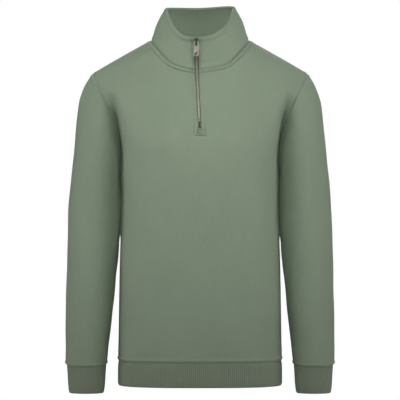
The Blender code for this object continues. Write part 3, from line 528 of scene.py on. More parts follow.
def section(x, z, depth):
    """How far the body's level outline is from its middle plane: a rounded box, squarer lower down."""
    high, low = ROUND_CHANGE_Z
    power = ROUND + (LOW_ROUND - ROUND) * smoothstep((high - z) / (high - low))
    share = np.clip(np.abs(x) / half_width(z), 0, 1)
    return depth(z) * (1 - share**power) ** (1 / power)


def to_seams(x, z):
    """1 inside a body panel, falling to 0 at its side seams, so that folds end there."""
    return smoothstep((1 - np.abs(x) / half_width(z)) / SIDE_SEAM_SHARE)


def front_point(x, z):
    """The points of the front's plain face at places of the front view."""
    out = section(x, z, front_depth) + fold_height(FRONT_FOLDS, np.abs(x), z) * to_seams(x, z)
    y = RIDGE_Y - (out + RIDGE_Y) * fullness(x, z)
    return np.stack(np.broadcast_arrays(x, y, z), axis=-1)


def back_point(x, z):
    """The points of the back's plain face at places of the front view."""
    out = section(x, z, back_depth) + fold_height(BACK_FOLDS, np.abs(x), z) * to_seams(x, z)
    y = RIDGE_Y + (out - RIDGE_Y) * fullness(x, z)
    return np.stack(np.broadcast_arrays(x, y, z), axis=-1)


def zip_lean(z):
    """How far the zip's middle is to the side at a height."""
    return ZIP_LEAN_TOP * (1 - np.clip(z / ZIP_END_Z, 0, 1) ** ZIP_LEAN_CURVE)


def lean(x, z):
    """How far a place near the centre front goes sideways with the zip."""
    return zip_lean(z) * smoothstep(1 - np.abs(x) / ZIP_LEAN_REACH)


def zip_valley(points):
    """The two halves of the collar go in to the zip between them, and so does the front below them."""
    x, z = points[..., 0], points[..., 2]
    low, high = VALLEY_Z
    rise = smoothstep((z - low) / (VALLEY_DEEP_Z - low))
    fall = 1 - VALLEY_RISE_SHARE * smoothstep((z - VALLEY_DEEP_Z) / (high - VALLEY_DEEP_Z))
    depth = ridge(x, zip_lean(z), VALLEY_WIDTH, VALLEY_DEPTH) * rise * fall
    return depth[..., None] * BACKWARD


def front_hollow(points, share):
    """The front of the collar goes in below its edge, so that the edge stands out over it."""
    across = smoothstep(HOLLOW_FLAT - np.abs(points[..., 0] - ZIP_LEAN_TOP) / HOLLOW_HALF)
    depth = smoothstep(share / HOLLOW_FOOT) * (1 - share) ** HOLLOW_POWER
    return (HOLLOW_DEPTH * depth * across)[..., None] * BACKWARD


def read_along(points, values, shares):
    """Values given at a line's points, read at shares of its length."""
    steps = np.linalg.norm(np.diff(points, axis=0), axis=1)
    along = np.concatenate([[0], np.cumsum(steps)]) / steps.sum()
    return np.stack([np.interp(shares, along, values[:, k]) for k in range(3)], axis=1)


def spaced(points, shares):
    """The places on a line at shares of its length."""
    return read_along(points, points, shares)


# How a body panel is cut: half its columns, its neckline and armhole, and its face
PanelCut = namedtuple("PanelCut", "columns neck_steps middle neck_drop neck_curve bends armhole_x point")


def top_place(cut, column):
    """Where a column of a body panel ends in the front view: on the neckline or on the shoulder seam."""
    if column <= cut.neck_steps:
        turn = column / cut.neck_steps * math.pi / 2
        x = cut.middle + (NECK_HALF - cut.middle) * math.sin(turn)
        z = -cut.neck_drop * max(math.cos(turn), 0) ** cut.neck_curve
        return x, z + sum(ridge(x, *bend) for bend in cut.bends)
    x = NECK_HALF + (SHOULDER_X - NECK_HALF) * (column - cut.neck_steps) / SHOULDER_STEPS
    return x, float(ridge_z(x))


def panel_half(cut):
    """Half of a body panel from its middle to its side seam. Its rows go up from the waist seam, and its
    last row is the neckline and then the shoulder seam. Near the neck point its columns slant in, so
    that they don't run along the neckline."""
    fine = 1 - np.linspace(1, 0, COLUMN_STATIONS) ** 2
    arm_z = UNDERARM_Z + (float(ridge_z(SHOULDER_X)) - UNDERARM_Z) * fine
    arm_x = cut.armhole_x(arm_z)
    bow = arm_x - (arm_x[0] * (1 - fine) + arm_x[-1] * fine)
    low, high = [], []
    for column in cut.columns:
        share = column / (cut.neck_steps + SHOULDER_STEPS)
        across = math.sin(share * math.pi / 2) ** (2 / ROUND)
        row_z = UNDERARM_Z - ROW_DIP * (1 - share**ROW_DIP_POWER)
        z = WAIST_SEAM_Z + (row_z - WAIST_SEAM_Z) * LOW_ROWS / SIDE_ROWS
        low.append(cut.point(cut.middle + (half_width(z) - cut.middle) * across, z))
        low_x = cut.middle + (half_width(row_z) - cut.middle) * across
        top_x, top_z = top_place(cut, column)
        slant = NECK_SLANT * smoothstep(1 - abs(column - cut.neck_steps) / NECK_FAN)
        x = top_x + (low_x - top_x) * (1 - fine) ** (1 - slant)
        z = row_z + (top_z - row_z) * fine + ridge_z(x) - ridge_z(low_x * (1 - fine) + top_x * fine)
        high.append(spaced(cut.point(x + bow * share**BOW_POWER, z), ARM_SHARES))
    return np.concatenate([np.stack(low, axis=1), np.stack(high, axis=1)])


def mirrored(points):
    """The same points on the wearer's other side."""
    return points * np.array([-1, 1, 1])


def places(first, last, each, near_first=(), near_last=()):
    """Grid places from first to last, each of a step's parts apart, and closer at the ends."""
    even = np.arange(round((last - first) * each) + 1) / each + first
    close = [first + p for p in near_first] + [last - p for p in near_last]
    return np.unique(np.round(np.concatenate([even, close]), 5))


# Where the grids have their rows and columns, in rows and columns of the solids. The close ones at the
# ends carry the seams' grooves and topstitching.
NEAR_HEM = (0.012, 0.03, 0.05, 0.08, 0.11, 0.14, 0.2, 0.25)
NEAR_NECK = (0.02, 0.045, 0.075, 0.11, 0.16, 0.21, 0.26, 0.3, 0.34, 0.38, 0.42, 0.48, 0.55, 0.7)
NEAR_SIDE = (0.02, 0.05, 0.08, 0.12, 0.17, 0.23, 0.3, 0.36, 0.45)
NEAR_ZIP = (0.02, 0.05, 0.1, 0.15, 0.25, 0.3, 0.34, 0.37, 0.43, 0.46, 0.5, 0.55)
NEAR_ARMHOLE = (0.02, 0.05, 0.09, 0.13, 0.24)
NEAR_COLLAR_SEAM = (0.006, 0.014, 0.024, 0.045, 0.055, 0.085)
NEAR_COLLAR_FOLD = (0.008, 0.018, 0.045, 0.055, 0.08)
LOW_ROWS = places(0, SIDE_ROWS, 6, near_first=NEAR_HEM)[:-1]
HIGH_ROWS = places(SIDE_ROWS, SIDE_ROWS + ARM_ROWS, 5, near_last=NEAR_NECK)
HIGH_ROWS = np.union1d(HIGH_ROWS, SLIT_END_ROW - np.arange(0.5, 11) / 10).round(5)
FRONT_COLUMNS = places(0, FRONT_NECK_STEPS + SHOULDER_STEPS, 5, near_first=NEAR_ZIP, near_last=NEAR_SIDE)
BACK_COLUMNS = places(0, BACK_NECK_STEPS + SHOULDER_STEPS, 6, near_last=NEAR_SIDE)
COLLAR_SHARES = places(0, 1, 30, near_first=NEAR_COLLAR_SEAM, near_last=NEAR_COLLAR_FOLD)
SLEEVE_ROWS = places(0, SLEEVE[-1].ring, 6, near_first=NEAR_ARMHOLE, near_last=NEAR_HEM)

# The armhole's rows, and the same as shares of it and as angles round the arm, by the front and the back
ARMHOLE_ROWS = slice(len(LOW_ROWS), None)
ARM_SHARES = (HIGH_ROWS - SIDE_ROWS) / ARM_ROWS
ARM_TURNS = np.concatenate([1 - ARM_SHARES[::-1], 1 + ARM_SHARES[1:-1]]) * math.pi

# The rows and columns of the panels' grids where the zip's slit and the neckline lie
SLIT_ROW = len(LOW_ROWS) + int(np.searchsorted(HIGH_ROWS, SLIT_END_ROW))
FRONT_MIDDLE, BACK_MIDDLE = len(FRONT_COLUMNS), len(BACK_COLUMNS) - 1
FRONT_NECK = int(np.searchsorted(FRONT_COLUMNS, FRONT_NECK_STEPS)) + 1
BACK_NECK = int(np.searchsorted(BACK_COLUMNS, BACK_NECK_STEPS))
FRONT_NECKLINE = slice(FRONT_MIDDLE - FRONT_NECK, FRONT_MIDDLE + FRONT_NECK)
BACK_NECKLINE = slice(BACK_MIDDLE - BACK_NECK, BACK_MIDDLE + BACK_NECK + 1)


def arc_lengths(points, axis):
    """Distance along a grid's lines from their start, at every place."""
    step = np.linalg.norm(np.diff(points, axis=axis), axis=2)
    start = np.zeros_like(np.take(step, [0], axis=axis))
    return np.concatenate([start, np.cumsum(step, axis=axis)], axis=axis)


def distance_to(points, line):
    """How far each point is from a line of short straight steps."""
    nearest = np.full(points.shape[:-1], np.inf)
    for start, end in zip(line, line[1:]):
        step = end - start
        share = np.clip((points - start) @ step / max(step @ step, 1e-9), 0, 1)
        nearest = np.minimum(nearest, np.linalg.norm(points - start - share[..., None] * step, axis=-1))
    return nearest


def follow(points, from_edge, shift, reach=2.5):
    """A grid whose edge is moved, with the cloth beside the edge following it."""
    return points + shift * np.exp(-((from_edge / reach) ** 2))[..., None]


def level_places(point, points, steps=40):
    """How far each point of a panel is from its centre line, along the cloth on a level line."""
    x, z = points[..., 0], points[..., 2]
    share = np.linspace(0, 1, steps + 1)[:, None, None]
    lines = point(x * share, z + 0 * share)
    return np.sign(x) * np.linalg.norm(np.diff(lines, axis=0), axis=-1).sum(axis=0)


def grid_normals(points, closed=False):
    """The outward direction at each point of a grid."""
    up = np.gradient(points, axis=0)
    if closed:
        across = np.roll(points, -1, axis=1) - np.roll(points, 1, axis=1)
    else:
        across = np.gradient(points, axis=1)
    normal = np.cross(across, up)
    normal /= np.maximum(np.linalg.norm(normal, axis=2), 1e-9)[..., None]
    outward = points - points.reshape(-1, 3).mean(0)
    return normal if (outward * normal).sum() > 0 else -normal


def sewn_edge(distance, depth=1.1, swell=0.35):
    """Cloth turns in at a seam and swells a little beside it."""
    return ridge(distance, 0, SEAM_WIDTH, -depth) + ridge(distance, SEAM_SWELL_AT, SEAM_SWELL_WIDTH, swell)


def soft_unevenness(across, up):
    """The slow waves of a real cloth's surface. Places that are shifted or stretched give other waves."""
    total = np.zeros(across.shape)
    for wave in WAVES:
        total += wave.height * np.sin(2 * math.pi * (across / wave.wide + up / wave.tall) + wave.phase)
    return total


def free_of_seams(distance, start=8, reach=30):
    """0 beside a seam, rising to 1 where the cloth is free of it."""
    return smoothstep((distance - start) / reach)


# ---------------------------------------------------------------- the cut pieces


def front_grid():
    """The front's outer face. Its two middle columns are the edges of the zip's slit, and lean with it."""
    cut = PanelCut(
        FRONT_COLUMNS, FRONT_NECK_STEPS, SLIT_HALF, FRONT_NECK_DROP, NECK_CURVE, NECK_BENDS,
        armhole_front_x, front_point,
    )
    half = panel_half(cut)
    whole = np.concatenate([mirrored(half)[:, ::-1], half], axis=1)
    x, z = whole[..., 0], whole[..., 2]
    moved = front_point(x + lean(x, z), z)
    leaned = np.where((np.abs(x) < ZIP_LEAN_REACH)[..., None], moved, whole)
    return leaned + zip_valley(leaned)


def back_grid():
    """The back's outer face, with one column at its middle."""
    cut = PanelCut(
        BACK_COLUMNS, BACK_NECK_STEPS, 0.0, -BACK_NECK_RISE, BACK_NECK_CURVE, (),
        armhole_back_x, back_point,
    )
    half = panel_half(cut)
    return np.concatenate([mirrored(half)[:, :0:-1], half], axis=1)


def stitched_down(inside):
    """Cloth stands out over a seam's allowance, up to the stitches that hold the allowance down."""
    return TAPE_RAISE * smoothstep((inside + TAPE_EDGE) / (2 * TAPE_EDGE))


def neck_topstitch(from_neck, z):
    """A narrow raised band below the collar, with its stitches pressed in most in front."""
    in_front = smoothstep((NECK_FRONT_Z - z) / NECK_FRONT_REACH)
    pressed = NECK_SIDE_SHARE + (1 - NECK_SIDE_SHARE) * in_front
    seam = ridge(from_neck, *NECK_SEAM) * (1 + pressed) / 2
    return stitched_down(NECK_STITCH - from_neck) + ridge(from_neck, *NECK_GROOVE) * pressed + seam


def over_the_band(from_hem, depth):
    """Cloth that is drawn in by a rib stands out over it."""
    swollen = sum(ridge(from_hem, *swell) for swell in OVER_BAND)
    return ridge(from_hem, 0, BAND_SEAM_WIDTH, -depth) + swollen


def zip_topstitch(from_zip, z):
    """The band round the zip, stitched down in a line with square corners below it, and the small box."""
    inside = np.minimum(ZIP_STITCH - from_zip, z - ZIP_STITCH_Z)
    box = np.maximum(from_zip - BOX_HALF, np.abs(z - BOX_TOP_Z + BOX_HIGH / 2) - BOX_HIGH / 2)
    pressed = ZIP_PRESS + ZIP_FOOT_PRESS * smoothstep((ZIP_FOOT_Z - z) / ZIP_FOOT_REACH)
    return (stitched_down(inside) + ridge(inside, *ZIP_GROOVE)) * pressed + ridge(box, *BOX_GROOVE)


def armpit_crease(points, into_body):
    """The cloth is drawn in along the lower part of the armhole: how far, level, from the front and from
    the back, by the distance from the armhole towards the body."""
    y, z = points[..., 1], points[..., 2]
    high = ARMPIT_Z[0]
    middle = ARMPIT_IN + ARMPIT_START * smoothstep((z - ARMPIT_JOIN_Z) / (high - ARMPIT_JOIN_Z))
    depth = 0
    for hollow in ARMPIT_HOLLOWS:
        width = np.where(into_body > middle, hollow.to_body, hollow.to_sleeve)
        depth += ridge(into_body, middle, width, hollow.depth)
    forward = np.clip((RIDGE_Y - y) / ARMPIT_TURN, -1, 1)
    return (depth * window(z, ARMPIT_Z, ARMPIT_FADE) * forward)[..., None] * BACKWARD


def from_sides(points):
    """How far each point of a panel is from its side edges."""
    return np.minimum(distance_to(points, points[:, 0]), distance_to(points, points[:, -1]))


def panel_relief(points, from_neck):
    """What seams and topstitching do to a body panel's face."""
    from_side, from_shoulder = from_sides(points), distance_to(points, points[-1])
    from_hem = arc_lengths(points, 0)
    relief = sewn_edge(from_side, swell=0.45) + sewn_edge(from_shoulder, depth=0.4, swell=0.2)
    relief += neck_topstitch(from_neck, points[..., 2]) + over_the_band(from_hem, depth=0.5)
    from_seam = np.minimum(np.minimum(from_side, from_shoulder), from_hem)
    up = points[..., 2] + points[..., 1] * BODY_WAVES_SLANT
    waves = soft_unevenness(points[..., 0] + BODY_WAVES_SHIFT, up)
    return relief + waves * free_of_seams(from_seam) + arm_contact(points, BODY_CONTACT)


def arm_contact(points, contact):
    """Below the armpit a sleeve and the body lie against each other: each stands out a little there, one
    before the other."""
    x, y, z = np.moveaxis(points, -1, 0)
    inside = window(z, CONTACT_Z, CONTACT_FADE) * (np.abs(x) < CONTACT_X)
    return ridge(y, contact.y, contact.width, contact.height) * inside


def front_relief(points, from_neck):
    """The front's relief, with the topstitching round its zip and its slit's edges turned in."""
    across = arc_lengths(points, 1)
    centre = (across[:, FRONT_MIDDLE - 1] + across[:, FRONT_MIDDLE]) / 2
    from_zip = np.abs(across - centre[:, None])
    beside_slit = np.arange(points.shape[0])[:, None] >= SLIT_ROW
    relief = panel_relief(points, from_neck) + zip_topstitch(from_zip, points[..., 2])
    return relief + beside_slit * ridge(from_zip, *SLIT_EDGE)


def ellipse_ring(outer, inner, y, front, back, turn):
    """A ring from its outer and inner points in the front view. It starts outside and goes by the front."""
    centre, reach = (outer + inner) / 2, (outer - inner) / 2
    forward = np.sin(turn)
    depth = np.where(forward > 0, front, back)
    x = centre[0] + reach[0] * np.cos(turn)
    z = centre[1] + reach[1] * np.cos(turn)
    return np.stack([x, y - depth * forward, z], axis=1)


def sleeve_grid(armhole):
    """The wearer's left sleeve, as rings from the armhole down. Each ring's columns end in the armhole's
    rows, and the first rings turn from the armhole's own line to the sleeve's."""
    read = smooth_curves(SLEEVE)
    rings = []
    for k in SLEEVE_ROWS:
        outer_x, outer_z, inner_x, inner_z, y, front, back = (float(curve(k)) for curve in read)
        outer, inner = np.array([outer_x, outer_z]), np.array([inner_x, inner_z])
        rings.append(ellipse_ring(outer, inner, y, front, back, ARM_TURNS))
    rings = np.array(rings)
    own_line = smoothstep(1 - SLEEVE_ROWS / ARMHOLE_FADE_ROWS)[:, None, None]
    return hung_at_cuff(rings + (armhole - rings[0]) * own_line)


def hung_at_cuff(points):
    """The seam of a sleeve and its cuff hangs lower in front than behind."""
    y, z = points[..., 1], points[..., 2]
    forward = np.clip((CUFF[0].y - y) / CUFF[0].front, -1, 1)
    ends = (CUFF[0].z + CUFF_HANG_ABOVE, CUFF[-1].z + CUFF_HANG_END)
    near_seam = window(z, ends, (CUFF_HANG_ABOVE, CUFF_HANG_BELOW))
    return points + (CUFF_HANG * forward * near_seam)[..., None] * np.array([0, 0, -1])


def sleeve_relief(points, side):
    """Seams, a sleeve head eased into the armhole, and creases behind the elbow."""
    down = arc_lengths(points, 0)
    relief = sewn_edge(down, depth=1.2, swell=0.9) + over_the_band(down[-1] - down, depth=1.7)
    round_arm = np.degrees(ARM_TURNS)[None, :]
    off_seam = np.abs(round_arm - 180) * SLEEVE_MM_A_DEGREE
    relief += ridge(off_seam, *UNDERARM_SEAM) * free_of_seams(down, start=4, reach=10)
    for crease in ELBOW_CREASES:
        off_middle = round_arm - crease.middle
        ends = smoothstep(1 - np.abs(off_middle) / crease.reach)
        relief += ridge(down, crease.down + crease.slant * off_middle, crease.width, crease.depth) * ends
    along_side = points[..., 1] * SLEEVE_WAVES_STRETCH + SLEEVE_WAVES_SHIFT * side
    waves = soft_unevenness(along_side, points[..., 2])
    relief += waves * free_of_seams(np.minimum(down, down[-1] - down))
    return relief + arm_contact(points, SLEEVE_CONTACT)


def collar_grid(neckline):
    """The collar's outer face, from the neckline up. Its ends are the edges of the zip's slit."""
    count = len(neckline)
    side = np.where(np.arange(count) < count / 2, 1, -1)
    beside = FRONT_COLUMNS[:FRONT_NECK]
    from_slit = np.concatenate([beside, np.ones(count - 2 * FRONT_NECK), beside[::-1]])
    ends = np.where(side > 0, neckline[0, 0], neckline[-1, 0])
    reach = side * (neckline[:, 0] - ends * np.maximum(1 - from_slit, 0))
    angle = np.degrees(np.arctan2(reach / NECK_HALF, (RIDGE_Y - neckline[:, 1]) / NECK_DEPTH))
    x, y, z = (curve(angle) for curve in smooth_curves(COLLAR_TOP))
    x = x * side
    z = z + COLLAR_LIFT * smoothstep(x / COLLAR_LIFT_REACH)
    x = x + lean(x, z) + SLIT_HALF * side * (1 - np.minimum(np.abs(x) / ZIP_LEAN_REACH, 1))
    top = np.stack([x, y, z], axis=1)
    outward = top * [1, 1, 0] / np.linalg.norm(top[:, :2], axis=1)[:, None]
    at_sides = np.sin(np.radians(np.minimum(angle, 90))) ** 2
    share = COLLAR_SHARES[:, None, None]
    swell = COLLAR_SWELL * np.sin(math.pi * share**COLLAR_SWELL_POWER) * at_sides[:, None]
    points = neckline * (1 - share) + top * share + outward * swell
    before_back = smoothstep((RIDGE_Y - points[..., 1:2]) / COLLAR_SIDE_BLEND)
    inward = zip_valley(points) - zip_valley(neckline) * (1 - share) + front_hollow(points, share[..., 0])
    return points + inward * before_back


def from_ends(across):
    """How far each place of the collar is from the nearer of its two ends."""
    return np.minimum(across, across[:, -1:] - across)


def collar_relief(points):
    """The collar's seam, the roll of its doubled edge and the dip below it, and its ends at the zip."""
    up, across = arc_lengths(points, 0), arc_lengths(points, 1)
    from_top, from_end = up[-1] - up, from_ends(across)
    in_front = smoothstep((COLLAR_DIP_Y - points[..., 1]) / COLLAR_DIP_REACH)
    relief = sewn_edge(up, depth=2.3, swell=0.5) + ridge(up, *COLLAR_FOOT)
    relief += ridge(from_top, *COLLAR_ROLL) + ridge(from_top, *COLLAR_DIP) * in_front
    relief += ridge(from_end, *COLLAR_END) + ridge(from_end, *COLLAR_END_GROOVE)
    free = free_of_seams(np.minimum(up, from_top), start=4, reach=20)
    waves = soft_unevenness(across * COLLAR_WAVES_ACROSS, up * COLLAR_WAVES_UP)
    return relief + free * waves * COLLAR_WAVES_SHARE


def collar_wall(points):
    """How thick the doubled collar is: most at its fold, and less again at the zip."""
    up, from_end = arc_lengths(points, 0), from_ends(arc_lengths(points, 1))
    fold = smoothstep(1 - (up[-1] - up) / COLLAR_FOLD_REACH) * free_of_seams(from_end, *COLLAR_FOLD_ENDS)
    return DOUBLED_COLLAR + (COLLAR_FOLD_SWELL * fold)[..., None]


def cloth_faces(rows, columns, closed=False, gap=None):
    """The quads of a grid of points, without those of the gap, as indices and as places for their UVs."""
    index = np.arange(rows * columns).reshape(rows, columns)
    place = np.arange(rows * (columns + closed)).reshape(rows, columns + closed)
    right = np.roll(index, -1, axis=1) if closed else index[:, 1:]
    left = index if closed else index[:, :-1]
    quads = np.stack([left[:-1], right[:-1], right[1:], left[1:]], axis=-1)
    marks = np.stack([place[:-1, :-1], place[:-1, 1:], place[1:, 1:], place[1:, :-1]], axis=-1)
    kept = np.ones(quads.shape[:2], bool)
    if gap:
        kept[gap] = False
    return quads[kept], marks[kept]


def new_piece(name, points, faces, finish, sharp):
    """A smooth-shaded object from its points in millimetres, with edges over an angle kept sharp."""
    mesh = bpy.data.meshes.new(name)
    mesh.from_pydata((points * MM).tolist(), [], faces)
    mesh.shade_smooth()
    mesh.set_sharp_from_angle(angle=math.radians(sharp))
    mesh.materials.append(finish)
    piece = bpy.data.objects.new(name, mesh)
    bpy.context.scene.collection.objects.link(piece)
    return piece


def cloth_object(name, points, faces, uvs, finish):
    """A finished piece from its points, its faces and the UV at each face's corners, all in millimetres."""
    piece = new_piece(name, points, [list(map(int, face)) for face in faces], finish, sharp=60)
    layer = piece.data.uv_layers.new(name="cloth")
    layer.data.foreach_set("uv", (uvs * MM).ravel())
    shell = bmesh.new()
    shell.from_mesh(piece.data)
    if shell.calc_volume(signed=True) < 0:
        bmesh.ops.reverse_faces(shell, faces=shell.faces)
        shell.to_mesh(piece.data)
    shell.free()
    return piece


def cloth_wall(name, outer, thickness, finish, across=None, closed=False, gap=None, turned_top=False):
    """A wall of cloth with the given outer face, closed round all its edges. Its knit runs along its
    columns, or is as far across as is given."""
    rows, columns = outer.shape[:2]
    count = rows * columns
    inner = outer - grid_normals(outer, closed) * thickness
    whole = np.concatenate([outer, outer[:, :1]], axis=1) if closed else outer
    if across is None:
        across = arc_lengths(whole, 1)
        across = across - across[:, [whole.shape[1] // 2]]
    uv = np.stack([across, arc_lengths(whole, 0)], axis=-1).reshape(-1, 2)
    quads, marks = cloth_faces(rows, columns, closed, gap)
    faces, corners = [*quads, *(quads[:, ::-1] + count)], [*marks, *marks[:, ::-1]]
    lips = turned_edge(outer, inner) if turned_top else np.zeros((0, columns, 3))

    def steps_over(place):
        """The points over the rim at a place, from the outer face to the inner one."""
        on_top = turned_top and place >= count - columns
        first_lip = 2 * count + place - (count - columns)
        return [place, *(first_lip + k * columns for k in range(len(lips) * on_top)), place + count]

    for a, b, mark_a, mark_b in rim_edges(quads, marks, count):
        from_a, from_b = steps_over(a), steps_over(b)
        if len(from_a) != len(from_b):
            from_a, from_b = [a, a + count], [b, b + count]
        for k in range(len(from_a) - 1):
            faces.append([from_b[k], from_a[k], from_a[k + 1], from_b[k + 1]])
            corners.append([mark_b, mark_a, mark_a, mark_b])
    if turned_top:
        first, last = steps_over(count - columns), steps_over(count - 1)
        faces += [[first[-1], *first[:-1]], [last[0], *last[:0:-1]]]
        corners += [[count - columns] * len(first), [count - 1] * len(last)]
    points = np.concatenate([outer.reshape(-1, 3), inner.reshape(-1, 3), lips.reshape(-1, 3)])
    return cloth_object(name, points, faces, uv[np.concatenate(corners)], finish)


def rim_edges(quads, marks, count):
    """The edges that only one quad has: each one's two points, and their places for UVs."""
    edges = np.concatenate([quads[:, [k, (k + 1) % 4]] for k in range(4)])
    marked = np.concatenate([marks[:, [k, (k + 1) % 4]] for k in range(4)])
    alone = ~np.isin(edges[:, 0] * count + edges[:, 1], edges[:, 1] * count + edges[:, 0])
    return np.concatenate([edges[alone], marked[alone]], axis=1).tolist()


def turned_edge(outer, inner):
    """Lines of points that round the turn at a doubled piece's top."""
    up = outer[-1] - outer[-3]
    up /= np.linalg.norm(up, axis=1)[:, None]
    middle, reach = (outer[-1] + inner[-1]) / 2, (outer[-1] - inner[-1]) / 2
    rise = up * np.linalg.norm(reach, axis=1)[:, None]
    turns = np.radians(TURNED_EDGE)
    return np.array([middle + reach * math.cos(t) + rise * math.sin(t) for t in turns])


# ---------------------------------------------------------------- ribbed bands


def ring_outward(rings):
    """The level outward direction at each point of closed level rings."""
    along = np.roll(rings, -1, axis=1) - np.roll(rings, 1, axis=1)
    out = np.stack([along[..., 1], -along[..., 0], np.zeros(along.shape[:2])], axis=-1)
    out /= np.linalg.norm(out, axis=2)[..., None]
    away = rings - rings.mean(axis=1, keepdims=True)
    return out if (out * away).sum() > 0 else -out


def evened(ring, count):
    """A closed ring with count points, spaced evenly."""
    return spaced(np.vstack([ring, ring[:1]]), np.arange(count) / count)


def band_ring(z, turn_points=2000):
    """The waistband's plain outer ring at a height. It starts at the wearer's left side seam."""
    turn = np.arange(turn_points) / turn_points * 2 * math.pi
    across = np.sign(np.cos(turn)) * np.abs(np.cos(turn)) ** (2 / LOW_ROUND)
    forward = np.abs(np.sin(turn)) ** (2 / LOW_ROUND)
    half, front, back = (curve(z) for curve in smooth_curves(WAISTBAND))
    y = np.where(np.sin(turn) > 0, -front, back) * forward
    return np.stack([half * across, y, np.full(turn_points, z)], axis=1)


def cuff_ring(z, turn_points=800):
    """The wearer's left cuff's plain outer ring at a height."""
    outer_x, inner_x, y, front, back = (curve(z) for curve in smooth_curves(CUFF))
    turn = np.arange(turn_points) / turn_points * 2 * math.pi
    return hung_at_cuff(ellipse_ring(np.array([outer_x, z]), np.array([inner_x, z]), y, front, back, turn))


def ribbed_band(name, ring_at, heights, ribs, points_a_rib, finish, side=1):
    """A doubled knitted band: ribs on its outer face, turned at its lower edge, and plain inside."""
    count = ribs * points_a_rib
    outer = np.array([evened(ring_at(z), count) for z in heights]) * [side, 1, 1]
    outward = ring_outward(outer)
    groove = (0.5 - 0.5 * np.cos(2 * math.pi * np.arange(count) / points_a_rib)) ** RIB_GROOVE
    from_edge = np.minimum(outer[0, :, 2].max() - outer[..., 2], outer[..., 2] - outer[-1, :, 2].min())
    depth = groove * RIB_DEPTH * (RIB_START + (1 - RIB_START) * smoothstep(from_edge / RIB_FADE))
    rings = np.concatenate([outer - outward * depth[..., None], (outer - outward * DOUBLED_RIB)[::-1]])
    closed = np.concatenate([rings, rings[:1]])
    closed = np.concatenate([closed, closed[:, :1]], axis=1)
    uv = np.stack([arc_lengths(closed, 1), arc_lengths(closed, 0)], axis=-1).reshape(-1, 2)
    quads, marks = cloth_faces(len(rings) + 1, count, closed=True)
    quads %= rings.shape[0] * count
    return cloth_object(name, rings.reshape(-1, 3), quads, uv[marks.ravel()], finish)


# ---------------------------------------------------------------- the zip


def between(values, row):
    """A value of a list of rows at a place between two of them."""
    low = min(int(row), len(values) - 2)
    return values[low] * (low + 1 - row) + values[low + 1] * (row - low)


class Slit:
    """The line of the zip: the slit's edges in the front and then in the collar, from below up."""

    def __init__(self, front, collar, front_out, collar_out):
        beside = int(np.searchsorted(FRONT_COLUMNS, BESIDE_SLIT))
        self.sides = {}
        for side, first, end in ((1, FRONT_MIDDLE, 0), (-1, FRONT_MIDDLE - 1, -1)):
            step = side * beside
            self.sides[side] = [
                np.concatenate([grid[:, first + move], ring[1:, end + move]])
                for move in (0, step)
                for grid, ring in ((front, collar), (front_out, collar_out))
            ]
        self.row_z = self.sides[1][0][:, 2]
        in_front = front.shape[0] - 1
        self.wall = np.where(np.arange(len(self.row_z)) < in_front, FLEECE, DOUBLED_COLLAR)

    def row_at(self, z):
        """The place among the rows at a height."""
        return float(np.interp(z, self.row_z, np.arange(len(self.row_z))))

    def wall_at(self, row):
        """How thick the cloth beside the slit is."""
        return float(between(self.wall, row))

    def place(self, side, row, across, depth):
        """A point at a distance across from the zip's middle and a depth behind the cloth's face."""
        edge, edge_out, beside, beside_out = (between(v, row) for v in self.sides[side])
        other, other_out = (between(v, row) for v in self.sides[-side][:2])
        middle, middle_out = (edge + other) / 2, (edge_out + other_out) / 2
        if across <= SLIT_HALF:
            share = across / SLIT_HALF
            out = middle_out * (1 - share) + edge_out * share
            return middle * (1 - share) + edge * share - out * depth
        share = (across - SLIT_HALF) / np.linalg.norm(beside - edge)
        out = edge_out * (1 - share) + beside_out * share
        return edge * (1 - share) + beside * share - out * depth


def tape_stations(slit):
    """The rows along the zip where a tape has its sections, and how far its cord is from the middle there:
    drawn together by the chain, and a little apart below it and above it."""
    below = np.arange(ZIP_END_Z - TAPE_BELOW, CHAIN_END_Z, TAPE_STEP)
    stations = []
    for z in [*below, *np.arange(CHAIN_END_Z, CHAIN_TOP_Z, TAPE_STEP)]:
        opened = TAPE_APART_BELOW * smoothstep((CHAIN_END_Z - z) / TAPE_OPENING)
        stations.append((slit.row_at(z), CORD_START + opened))
    top = len(slit.row_z) - 1 - TAPE_TOP_ROWS
    above = np.linspace(slit.row_at(CHAIN_TOP_Z), top, TAPE_TOP_SECTIONS)
    return stations + [(row, TAPE_APART_ABOVE) for row in above]


def tape_section(start, wall):
    """A tape's outline, by the distance across from the zip's middle and the depth behind the cloth's face.
    It goes in along the tape's back, round the cord and out along its front."""
    face, back = wall + TAPE_GAP, wall + TAPE_GAP + TAPE_THICK
    outer, cord_end, cord = SLIT_HALF + TAPE_REACH, start + CORD_THICK, CORD_THICK / 2
    outline = [(outer, back), (TAPE_FLAT_AT, back), (cord_end + TAPE_BACK_AT, back)]
    for turn in np.radians(np.arange(340, 99, -40)):
        outline.append((start + cord + cord * math.cos(turn), CORD_DEPTH + cord + cord * math.sin(turn)))
    outline += [(cord_end - CORD_THICK / 10, CORD_DEPTH + cord / 2), (cord_end + TAPE_FRONT_AT, face)]
    return outline + [(TAPE_FLAT_AT, face), (outer, face)]


def zip_tape(name, slit, side, finish):
    """A woven tape behind the slit's edge. Its own edge is a cord that the teeth are clamped on."""
    grid = []
    for row, start in tape_stations(slit):
        outline = tape_section(start, slit.wall_at(row))
        grid.append([slit.place(side, row, across, depth) for across, depth in outline])
    return closed_sweep(name, np.array(grid), finish)


